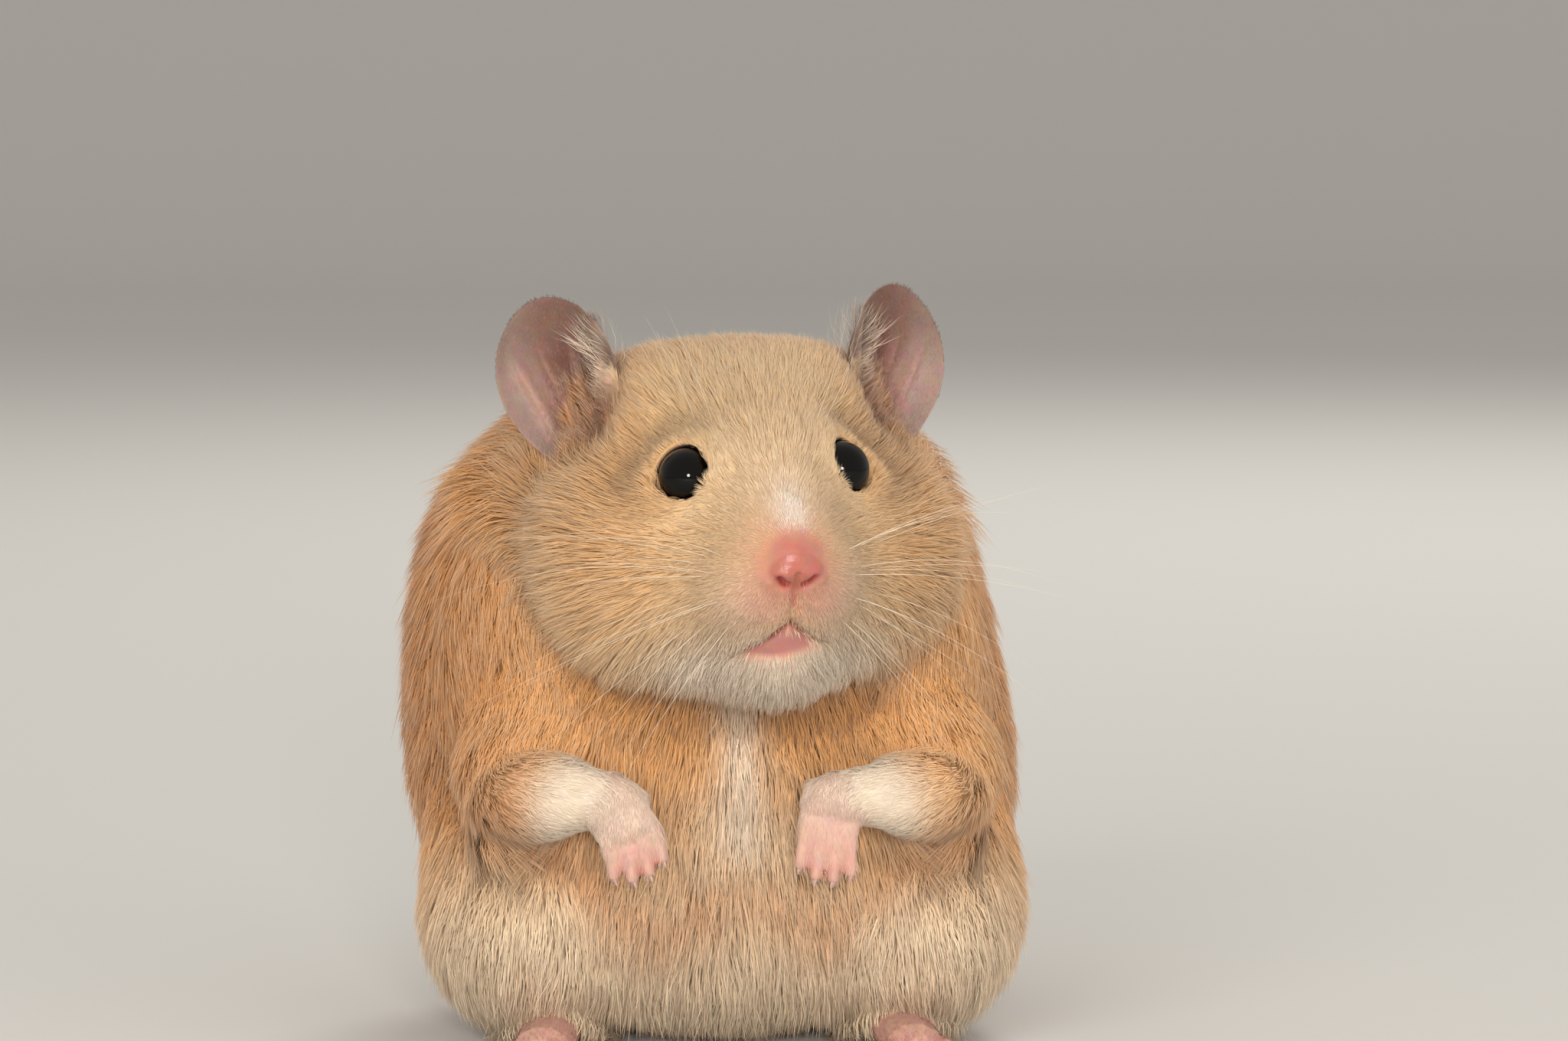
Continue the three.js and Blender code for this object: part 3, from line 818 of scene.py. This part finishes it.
def write_recipe(mesh):
    """Keeps on the skin, vertex by vertex, what the coat needs to know."""
    places, edges, normals = places_of(mesh), edges_of(mesh), normals_of(mesh)
    parts = parts_of(places)
    recipe = np.array([RECIPE[kind_of(n)] for n in FLESH])[parts]
    values = spread(np.hstack([recipe, grain_of(places, parts)]), edges, 20)
    depth, length, width, share, clump = values[:, :5].T
    colour = spread(markings(places, parts), edges, 5)
    r, f, u = in_head(places).T
    kinds = np.array([kind_of(n) for n in FLESH])[parts]
    head = np.isin(kinds, ("head", "lower_jaw", "neck")).astype(float)

    cheek = head * ramp(np.abs(r), 9, 17) * (1 - ramp(u, 0, 9)) * (1 - ramp(f, 8, 14))
    tuft = near_ear_base(places) * head
    hollow, fringe, wisps = np.zeros((3, len(places)))
    for side in SIDES:
        across, out, up = in_ear(places, side).T
        own = parts == FLESH.index(f"ear_{side}")
        over = over_hollow(places, side) * head
        hollow = np.maximum(hollow, over)
        fringe = np.maximum(fringe, 4 * over * (1 - over) * ramp(across, 1, 5))
        wisps = np.maximum(wisps, own * long_ear_hair(across, out, up))
    length = length * (1 + 0.75 * cheek - 0.25 * tuft) * (1 - 0.6 * hollow) + 2.5 * fringe + 5.0 * wisps
    width = width * (1 + 0.2 * cheek + 0.2 * wisps - 0.2 * fringe)
    clump = clump + 0.3 * cheek + 0.2 * tuft

    from_nose = np.linalg.norm(places - NOSE, axis=1) / MM
    off_lids = ramp(from_eye(places), EYE_MM + 0.4, EYE_MM + 5.6) * 0.65 + 0.35
    near = np.minimum(ramp(from_nose, 3.5, 24) * 0.85 + 0.15, off_lids)
    near = np.minimum(near, ramp(np.hypot(r, u + 13.3), 3, 9) * 0.7 + 0.3)
    wrist = near_wrist(places, parts)
    length = length * near * (1 - 0.5 * wrist)
    width = width * (0.6 + 0.4 * near) * (1 - 0.35 * wrist)
    depth = coat_depth(places, parts, values[:, :5]) + 1.3 * cheek + 0.6 * fringe + 0.8 * wisps
    length = np.maximum(length, depth * 1.25)

    front = ramp(f, 9, 12)
    bare = np.maximum(on_nose(r, u) * ramp(f, 13, 16), on_lip(r, u) * front)
    bare = np.maximum(bare, 0.7 * hill(np.hypot(r / 3.0, (u + 3.4) / 2.8), 1.0) * front)
    bare = np.maximum(bare, 0.9 * hill(to_path(np.column_stack([r, u]), LIP_LINE), 0.6) * front)
    bare = np.maximum(bare, hill(to_path(np.column_stack([r, u]), [(0, -6.6), (0, -8.6)]), 0.5) * front)
    bare = np.maximum(bare, 1 - ramp(from_eye(places), EYE_MM + 0.15, EYE_MM + 0.45))
    share = share * (1 - bare) * (1 + 1.2 * (1 - near)) * (1 - 0.85 * on_digits(places))
    share = share * (1 - 0.75 * wisps) * (1 - 0.5 * fringe) * (1 - 0.5 * hollow)

    lie = values[:, 5:8]
    for side in SIDES:
        across, out, up = in_ear(places, side).T
        axes = EARS[side][1]
        sweep = axes[2] - axes[0] * 0.2 + axes[1] * 0.2
        lie = lie + (sweep - lie) * (0.8 * tuft * (np.abs(across) < 14))[:, None]
        crossing = 0.8 * np.maximum(hollow, fringe) * (np.abs(across) < 14)
        lie = lie + (axes[2] - axes[0] * 0.9 - lie) * crossing[:, None]
        lie = lie + (axes[2] - axes[0] - lie) * (wisps * (np.abs(across) < 9))[:, None]
    for eye in EYES.values():
        toward = unit(eye - places)
        close = 1 - ramp(np.linalg.norm(eye - places, axis=1) / MM, EYE_MM + 1.2, EYE_MM + 4.2)
        lie = lie - toward * (close * np.maximum((lie * toward).sum(1), 0))[:, None]
    lie = unit(lie - normals * (lie * normals).sum(1)[:, None])

    set_attribute(mesh, "coat", "FLOAT_VECTOR", "vector", np.column_stack([depth, length, width]))
    set_attribute(mesh, "lie", "FLOAT_VECTOR", "vector", lie)
    jaw = head * ramp(-u, 10, 15) * (1 - ramp(f, 14, 18))
    ruffle = 3.0 * np.maximum(cheek, 0.8 * jaw) + 0.6 * tuft + 1.5 * fringe + 2.0 * wisps
    stand = np.column_stack([share, clump.clip(0, 0.75), ruffle])
    set_attribute(mesh, "stand", "FLOAT_VECTOR", "vector", stand)
    set_attribute(mesh, "hair_colour", "FLOAT_VECTOR", "vector", colour)
    painted = paint_skin(places, parts, colour)
    set_attribute(mesh, "marking", "FLOAT_COLOR", "color", np.column_stack([painted, np.ones(len(painted))]))
    wet = np.maximum(on_nose(r, u), on_lip(r, u)) * front
    wet = np.maximum(wet, 1 - ramp(from_eye(places), EYE_MM + 0.1, EYE_MM + 0.4))
    set_attribute(mesh, "wet", "FLOAT", "value", wet)


# ---- Coat ----

COAT_NEEDS = ("coat", "lie", "stand", "hair_colour")  # the skin's attributes that the tufts grow by
PAIRED_PIECES = ("face", "crown", "back", "arm", "haunch")
COAT_PIECES = ("chest", *(f"{place}_{side}" for place in PAIRED_PIECES for side in SIDES))


def piece_of(points, parts):
    """The coat piece that each root belongs to, as an index in COAT_PIECES."""
    f = in_head(points)[:, 1]
    kinds = np.array([kind_of(n) for n in FLESH])[parts]
    head = np.isin(kinds, ("head", "lower_jaw", "nose"))
    place = np.full(len(points), COAT_PIECES.index("back_left"))
    place[np.isin(kinds, ("upper_arm", "forearm", "forepaw"))] = COAT_PIECES.index("arm_left")
    place[np.isin(kinds, ("thigh", "hind_foot", "tail"))] = COAT_PIECES.index("haunch_left")
    place[kinds == "ear"] = COAT_PIECES.index("crown_left")
    place[head] = np.where(f > -1, COAT_PIECES.index("face_left"), COAT_PIECES.index("crown_left"))[head]
    across = np.where(head, in_head(points)[:, 0], points[:, 0])
    place += across < 0
    place[(points[:, 1] < 0) & np.isin(kinds, ("trunk", "neck"))] = COAT_PIECES.index("chest")
    return place


def read_skin(mesh):
    """The skin's triangles, places, and what write_recipe kept on it."""
    mesh.calc_loop_triangles()
    corners = np.empty(len(mesh.loop_triangles) * 3, np.int32)
    mesh.loop_triangles.foreach_get("vertices", corners)
    corners = corners.reshape(-1, 3)
    read = {name: get_attribute(mesh, name, "vector", 3) for name in COAT_NEEDS}
    read["place"], read["normal"], read["corners"] = places_of(mesh), normals_of(mesh), corners
    read["part"] = parts_of(read["place"])
    a, b, c = (read["place"][corners[:, k]] for k in range(3))
    area = np.linalg.norm(np.cross(b - a, c - a), axis=1) / 2
    read["weight"] = area * read["stand"][:, 0][corners].mean(1)
    read["piece"] = piece_of(read["place"], read["part"])[corners[:, 0]]
    return read


def scatter(read, piece, count, rng):
    """Roots spread evenly over one piece's skin, as their triangles' vertices and the weights of these."""
    total = np.cumsum(read["weight"] * (read["piece"] == piece))
    picks = (np.arange(count) + rng.random(count)) / count * total[-1]
    chosen = read["corners"][np.searchsorted(total, picks).clip(0, len(total) - 1)]
    first, second = np.sqrt(rng.random(count)), rng.random(count)
    return chosen, np.column_stack([1 - first, first * (1 - second), first * second])


def unwrap(points, parts):
    """Each part's roots fill a cell of the map, by longitude and equal-area latitude about its middle."""
    place = np.zeros((len(points), 2))
    names = np.unique(parts)
    across = math.ceil(math.sqrt(len(names)))
    for cell, part in enumerate(names):
        at = parts == part
        away = unit(points[at] - points[at].mean(0))
        flat = np.column_stack([np.arctan2(away[:, 0], -away[:, 1]), away[:, 2]])
        low, high = flat.min(0), flat.max(0)
        flat = (flat - low) / np.maximum(high - low, 1e-9)
        place[at] = (np.array([cell % across, cell // across]) + 0.02 + 0.96 * flat) / across
    return place


TUFTS_IN_LOCK = 18
GUARD_HAIRS = 0.15  # the share of tufts that are thinner, longer and paler than the rest
SOFTNESS = 0.7  # how far a tuft's shading follows the skin below it, which makes the coat look soft


def turned(vectors, axes, angles):
    """Each vector turned about its axis, which is at right angles to it."""
    return vectors * np.cos(angles)[:, None] + np.cross(axes, vectors) * np.sin(angles)[:, None]


def into_locks(values, lead, root, share, pull):
    """Draws each tuft's points towards those of its lock's leader."""
    return values + (values[lead] + (root - root[lead]) * share - values) * pull[:, None]


def tuft_points(read, piece, count, rng):
    """Roots, bends and tips of one piece's tufts, with the frames and values at their roots."""
    chosen, weights = scatter(read, piece, count, rng)
    wanted = ("place", "normal", *COAT_NEEDS)
    at = {name: (read[name][chosen] * weights[:, :, None]).sum(1) for name in wanted}
    at["part"] = read["part"][chosen[:, 0]]
    root, normal = at["place"], unit(at["normal"])
    lie = unit(at["lie"] - normal * (at["lie"] * normal).sum(1)[:, None])
    depth, length, width = at["coat"].T * MM
    clumping, ruffle = at["stand"][:, 1], at["stand"][:, 2] * MM

    leaders = rng.choice(count, max(count // TUFTS_IN_LOCK, 1), replace=False)
    tree = KDTree(len(leaders))
    for i, leader in enumerate(leaders):
        tree.insert(root[leader], i)
    tree.balance()
    lock = np.array([tree.find(place)[1] for place in root])
    swing = np.radians(rng.normal(0, 6, len(leaders))[lock] + rng.normal(0, 7, count))
    lie = turned(lie, normal, swing)
    guard = rng.random(count) < GUARD_HAIRS
    lift = depth * rng.normal(1.0, 0.06, len(leaders))[lock] * rng.uniform(0.82, 1.04, count)
    lift = lift * (1 + 0.14 * guard)
    lift += ruffle * rng.random(count) ** 1.4
    grown = length * rng.uniform(0.75, 1.1, count) * (1 + 0.15 * guard)
    width = width * (1 - 0.3 * guard)

    tip = root + lie * grown[:, None] * 0.9 + normal * lift[:, None]
    bend = root + lie * grown[:, None] * 0.45 + normal * lift[:, None] * 0.85
    tip = into_locks(tip, leaders[lock], root, 0.15, clumping * rng.uniform(0.6, 1.0, count))
    bend = into_locks(bend, leaders[lock], root, 0.6, clumping * 0.35)
    for place in (bend, tip):
        place[:, 2] = np.maximum(place[:, 2], 0.15 * MM)
    across = unit(np.cross(normal, lie))
    at.update(root=root - normal * 0.1 * MM, bend=bend, tip=tip, across=across, normal=normal, lie=lie)
    tone = rng.normal(1.0, 0.04, len(leaders))[lock] * rng.normal(1.0, 0.09, count) * (1 + 0.12 * guard)
    at.update(width=width, tone=tone, guard=guard)
    return at


# A tuft is a closed spindle: its root, a ring of three where it bends, and its tip.
TUFT_FACES = np.array([[1, 2, 4], [2, 3, 4], [3, 1, 4], [2, 1, 0], [3, 2, 0], [1, 3, 0]])
TUFT_PATCH = np.array([[0.5, 0], [0, 0.5], [0.5, 0.5], [1, 0.5], [0.5, 1]]) - 0.5
PATCH_SIZE = 0.003
MOST_TUFTS = 33000  # in one piece


def grow_coat(read, piece, count, seed):
    """One coat piece: thin tufts that follow the lie of the coat and gather into locks."""
    rng = np.random.default_rng(seed)
    at = tuft_points(read, piece, count, rng)
    ring = [
        at["bend"]
        + at["across"] * (math.cos(turn) * at["width"] / 2)[:, None]
        + at["normal"] * (math.sin(turn) * at["width"] / 3)[:, None]
        for turn in (math.pi / 2, math.pi * 7 / 6, math.pi * 11 / 6)
    ]
    points = np.stack([at["root"], *ring, at["tip"]], 1).reshape(-1, 3)
    faces = (np.arange(count)[:, None, None] * 5 + TUFT_FACES).reshape(-1, 3)

    coat = bpy.data.meshes.new("coat_" + COAT_PIECES[piece])
    coat.vertices.add(len(points))
    coat.vertices.foreach_set("co", points.ravel())
    coat.loops.add(faces.size)
    coat.loops.foreach_set("vertex_index", faces.ravel().astype(np.int32))
    coat.polygons.add(len(faces))
    coat.polygons.foreach_set("loop_start", np.arange(0, faces.size, 3, dtype=np.int32))
    coat.polygons.foreach_set("use_smooth", np.ones(len(faces), bool))
    coat.update(calc_edges=True)

    place = unwrap(at["place"], at["part"])
    uv = (place[:, None, :] + TUFT_PATCH * PATCH_SIZE).clip(0, 1)[:, TUFT_FACES.ravel()]
    coat.uv_layers.new(name="OFBake").data.foreach_set("uv", uv.astype(np.float32).ravel())

    soft = [unit(at["normal"] + at["lie"] * lean) for lean in (0, 0.25, 0.25, 0.25, 0.5)]
    soft = np.stack(soft, 1).reshape(-1, 3)
    coat.normals_split_custom_set_from_vertices(unit(soft * SOFTNESS + normals_of(coat) * (1 - SOFTNESS)))

    colour = at["hair_colour"] * at["tone"][:, None]
    pale = blend_colours(colour, linear("#fff1dc"), rng.uniform(0.0, 0.55, count) ** 1.3 + 0.35 * at["guard"])
    # Root and bend are painted darker and richer, as painted shade down among the hairs; the tip is paler.
    root_shade_to_pale_tip = np.stack([colour**1.15 * 0.95] + [colour**1.05] * 3 + [pale], 1).reshape(-1, 3)
    opaque = np.column_stack([root_shade_to_pale_tip.clip(0, 1), np.ones(len(root_shade_to_pale_tip))])
    set_attribute(coat, "marking", "FLOAT_COLOR", "color", opaque)
    return link(coat, coat.name)


# ---- Eyes, claws and whiskers ----


def build_eyes(radius_mm):
    bm = bmesh.new()
    for eye in EYES.values():
        at_eye = Matrix.Translation(eye)
        bmesh.ops.create_uvsphere(bm, u_segments=48, v_segments=32, radius=radius_mm * MM, matrix=at_eye)
    for face in bm.faces:
        face.smooth = True
    return finished(bm, "eyes")


def build_claws():
    bm = solid_copy(CLAWS)
    for face in bm.faces:
        face.smooth = True
    return finished(bm, "claws", ("SUBSURF", {"levels": 2, "render_levels": 2}))


def build_whiskers(count, length_mm, thickness_mm):
    """Long tapered hairs that fan from the pads beside the nose, and a few from the brow and the cheek."""
    rng = np.random.default_rng(7)
    rows = (0.55, 0.18, -0.22, -0.75)
    bm = bmesh.new()
    for side in SIDES.values():
        for i in range(count):
            column, row = divmod(i, len(rows))
            from_middle = ACROSS * (3.8 + 0.7 * column) * side + AHEAD * (16.3 - column)
            root = HEAD + (from_middle + UP * (-5.4 - 1.2 * row)) * MM
            rise = rows[row] + 0.12 * rng.normal()
            out = unit(ACROSS * side * (0.9 + 0.12 * column) + AHEAD * (0.35 - 0.14 * column) + UP * rise)
            droop = -UP * rng.uniform(0.12, 0.34) - AHEAD * 0.25
            length = length_mm * (1.05 - 0.08 * abs(column - 2)) * rng.uniform(0.6, 1.05) * MM
            whisker(bm, root, out, droop, length, thickness_mm * MM)
        for r, f, u, rise in ((6.0, 9.5, 10.5, 1.0), (7.4, 8.0, 10.3, 0.8), (12.5, 7.0, -2.5, 0.2)):
            root = HEAD + (ACROSS * r * side + AHEAD * f + UP * u) * MM
            out = unit(ACROSS * side * 0.35 + AHEAD * 0.4 + UP * rise)
            whisker(bm, root, out, -AHEAD * 0.5, length_mm * 0.45 * MM, thickness_mm * 0.7 * MM)
    for face in bm.faces:
        face.smooth = True
    return finished(bm, "whiskers")


def whisker(bm, root, out, droop, length, thickness, steps=10, sides=4):
    """A thin tube swept from a ring at its root, each step narrower than the last."""
    direction = Vector(out)
    turn = direction.to_track_quat("Z", "Y").to_matrix().to_4x4()
    last = Vector(root) - direction * MM
    first = Matrix.Translation(last) @ turn
    made = bmesh.ops.create_circle(bm, cap_ends=True, segments=sides, radius=thickness / 2, matrix=first)
    ring = made["verts"]
    front = [f for f in bm.faces if all(v in ring for v in f.verts)]
    for step in range(1, steps + 1):
        t = step / steps
        place = Vector(root) + Vector(out) * length * t + Vector(droop) * length * t * t
        grown = bmesh.ops.extrude_face_region(bm, geom=front)["geom"]
        verts = [g for g in grown if isinstance(g, bmesh.types.BMVert)]
        bmesh.ops.delete(bm, geom=front, context="FACES_ONLY") if step > 1 else None
        front = [g for g in grown if isinstance(g, bmesh.types.BMFace)]
        bmesh.ops.translate(bm, verts=verts, vec=place - last)
        narrowing = (1 - 0.88 * t) / (1 - 0.88 * (step - 1) / steps)
        bmesh.ops.scale(bm, verts=verts, vec=(narrowing,) * 3, space=Matrix.Translation(-place))
        last = place


# ---- Settings ----


class HamsterSkin(bpy.types.PropertyGroup):
    voxel: bpy.props.FloatProperty(
        name="Mesh size",
        description="Edge length of the skin's mesh, in millimetres",
        default=0.83, min=0.3, max=2.0,
    )


class HamsterCoat(bpy.types.PropertyGroup):
    tufts: bpy.props.IntProperty(
        name="Tufts",
        description="Number of tufts in the whole coat",
        default=248000, min=1000, max=250000,
    )
    seed: bpy.props.IntProperty(
        name="Seed",
        description="Start of the random numbers that place the tufts",
        default=11, min=0,
    )


class HamsterFeatures(bpy.types.PropertyGroup):
    eye: bpy.props.FloatProperty(
        name="Eye radius", description="Radius of the eyeball, in millimetres", default=3.2, min=2.0, max=5.0
    )
    whiskers: bpy.props.IntProperty(
        name="Whiskers",
        description="Whiskers on each side of the nose",
        default=16, min=0, max=40,
    )
    whisker_length: bpy.props.FloatProperty(
        name="Whisker length",
        description="Length of the longest whiskers, in millimetres",
        default=33.0, min=5.0, max=40.0,
    )
    whisker_thickness: bpy.props.FloatProperty(
        name="Whisker thickness",
        description="Thickness of a whisker at its root, in millimetres",
        default=0.065, min=0.05, max=0.5,
    )


class HamsterStage(bpy.types.PropertyGroup):
    floor: bpy.props.FloatVectorProperty(
        name="Floor",
        description="Colour of the floor and backdrop",
        subtype="COLOR", default=(0.66, 0.65, 0.63), min=0, max=1,
    )
    light: bpy.props.FloatProperty(
        name="Light",
        description="Strength of the soft light all round",
        default=0.55, min=0.0, max=3.0,
    )


# ---- Operators ----


class HAMSTER_OT_skin(bpy.types.Operator):
    """Builds one skin from the solids, inside them by the depth of the coat"""

    bl_idname = "hamster.skin"
    bl_label = "Skin"

    def execute(self, context):
        skin = build_skin(context.scene.hamster_skin.voxel)
        write_recipe(skin.data)
        skin.data.materials.clear()
        skin.data.materials.append(bare_skin_material())
        skin.data.polygons.foreach_set("use_smooth", np.ones(len(skin.data.polygons), bool))
        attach(skin, "root")
        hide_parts(*FLESH)
        return {"FINISHED"}


class HAMSTER_OT_coat(bpy.types.Operator):
    """Grows the coat over the skin, in pieces that together cover every side"""

    bl_idname = "hamster.coat"
    bl_label = "Coat"

    def execute(self, context):
        settings = context.scene.hamster_coat
        skin = bpy.data.objects["skin"]
        material = hair_material()
        read = read_skin(skin.data)
        shares = np.bincount(read["piece"], read["weight"], len(COAT_PIECES)) / read["weight"].sum()
        for index, share in enumerate(shares):
            count = min(int(settings.tufts * share), MOST_TUFTS)
            piece = grow_coat(read, index, count, settings.seed + index)
            piece.data.materials.append(material)
            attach(piece, "root")
        for name in COAT_NEEDS:
            skin.data.attributes.remove(skin.data.attributes[name])
        return {"FINISHED"}


class HAMSTER_OT_eyes(bpy.types.Operator):
    """Sets two wet black eyes where the solids have theirs"""

    bl_idname = "hamster.eyes"
    bl_label = "Eyes"

    def execute(self, context):
        eyes = build_eyes(context.scene.hamster_features.eye)
        eyes.data.materials.append(eye_material())
        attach(eyes, "root")
        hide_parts("eye_left", "eye_right")
        return {"FINISHED"}


class HAMSTER_OT_claws(bpy.types.Operator):
    """Smooths the claws of all four feet"""

    bl_idname = "hamster.claws"
    bl_label = "Claws"

    def execute(self, context):
        claws = build_claws()
        claws.data.materials.clear()
        claws.data.materials.append(horn_material())
        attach(claws, "root")
        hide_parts(*CLAWS)
        return {"FINISHED"}


class HAMSTER_OT_whiskers(bpy.types.Operator):
    """Adds the whiskers of the muzzle, brow and cheek"""

    bl_idname = "hamster.whiskers"
    bl_label = "Whiskers"

    def execute(self, context):
        settings = context.scene.hamster_features
        whiskers = build_whiskers(settings.whiskers, settings.whisker_length, settings.whisker_thickness)
        whiskers.data.materials.append(whisker_material())
        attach(whiskers, "root")
        return {"FINISHED"}


class HAMSTER_OT_stage(bpy.types.Operator):
    """Adds the floor, the soft light and the camera"""

    bl_idname = "hamster.stage"
    bl_label = "Stage"

    def execute(self, context):
        settings = context.scene.hamster_stage
        scene = context.scene
        bm = bmesh.new()
        bmesh.ops.create_grid(bm, x_segments=1, y_segments=1, size=3.0)
        far = [e for e in bm.edges if all(v.co.y > 2.9 for v in e.verts)]
        wall = bmesh.ops.extrude_edge_only(bm, edges=far)["geom"]
        bmesh.ops.translate(bm, verts=[g for g in wall if isinstance(g, bmesh.types.BMVert)], vec=(0, 0, 3.0))
        bmesh.ops.bevel(bm, geom=far, offset=0.8, segments=16, profile=0.5, affect="EDGES", material=-1)
        for face in bm.faces:
            face.smooth = True
        floor = finished(bm, "floor")
        paper = new_material("matt paper")
        shade(paper, Base_Color=(*settings.floor, 1), Roughness=0.9)
        floor.data.materials.append(paper)

        world = bpy.data.worlds.new("soft room")
        world.use_nodes = True
        world.node_tree.nodes["Background"].inputs["Color"].default_value = (1.0, 0.96, 0.9, 1)
        world.node_tree.nodes["Background"].inputs["Strength"].default_value = settings.light
        scene.world = world
        target = Vector((0, 0, 0.05))
        for name, place, size, power in (
            ("key", (-0.45, -0.85, 0.4), 0.6, 3.8),
            ("fill", (0.7, -0.7, 0.25), 0.7, 2.2),
            ("rim", (0.3, 0.8, 0.8), 0.5, 4.5),
            ("front", (0.02, -0.6, 0.16), 0.11, 1.5),
        ):
            lamp = bpy.data.lights.new(name, "AREA")
            lamp.shape = "DISK"
            lamp.size = size
            lamp.energy = power
            lamp.color = (1.0, 0.965, 0.91)
            obj = bpy.data.objects.new(name, lamp)
            obj.location = place
            obj.rotation_euler = (target - Vector(place)).to_track_quat("-Z", "Y").to_euler()
            obj.visible_glossy = name == "front"
            scene.collection.objects.link(obj)

        azimuth, elevation, distance = math.radians(-3), math.radians(5), 0.55
        aim = Vector(HEAD) + Vector((4.3, 2.0, -1.7)) * MM
        level = math.cos(elevation)
        back = Vector((math.sin(azimuth) * level, -math.cos(azimuth) * level, math.sin(elevation)))
        camera = bpy.data.objects.new("camera", bpy.data.cameras.new("camera"))
        camera.data.lens = 111.0
        camera.data.clip_start, camera.data.clip_end = 0.01, 20.0
        camera.location = aim + back * distance
        camera.rotation_euler = (-back).to_track_quat("-Z", "Y").to_euler()
        scene.collection.objects.link(camera)
        scene.camera = camera
        scene.view_settings.view_transform = "Standard"
        return {"FINISHED"}


class HAMSTER_PT_panel(bpy.types.Panel):
    """Lists the pieces of the hamster with their settings"""

    bl_idname = "HAMSTER_PT_panel"
    bl_label = "Hamster"
    bl_space_type = "VIEW_3D"
    bl_region_type = "UI"
    bl_category = "Hamster"

    def draw(self, context):
        for group in ("hamster_skin", "hamster_coat", "hamster_features", "hamster_stage"):
            settings = getattr(context.scene, group)
            for name in settings.bl_rna.properties.keys():
                if name not in ("rna_type", "name"):
                    self.layout.prop(settings, name)
        for operator in OPERATORS:
            self.layout.operator(operator.bl_idname)


GROUPS = {
    "hamster_skin": HamsterSkin,
    "hamster_coat": HamsterCoat,
    "hamster_features": HamsterFeatures,
    "hamster_stage": HamsterStage,
}
OPERATORS = (
    HAMSTER_OT_skin, HAMSTER_OT_coat, HAMSTER_OT_eyes,
    HAMSTER_OT_claws, HAMSTER_OT_whiskers, HAMSTER_OT_stage,
)


def register():
    for cls in (*GROUPS.values(), *OPERATORS, HAMSTER_PT_panel):
        bpy.utils.register_class(cls)
    for name, cls in GROUPS.items():
        setattr(bpy.types.Scene, name, bpy.props.PointerProperty(type=cls))


def unregister():
    for name in GROUPS:
        delattr(bpy.types.Scene, name)
    for cls in reversed((*GROUPS.values(), *OPERATORS, HAMSTER_PT_panel)):
        bpy.utils.unregister_class(cls)


def main():
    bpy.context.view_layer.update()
    register()
    bpy.ops.hamster.skin()
    bpy.ops.hamster.coat()
    bpy.ops.hamster.eyes()
    bpy.ops.hamster.claws()
    bpy.ops.hamster.whiskers()
    bpy.ops.hamster.stage()


if __name__ == "__main__":
    main()
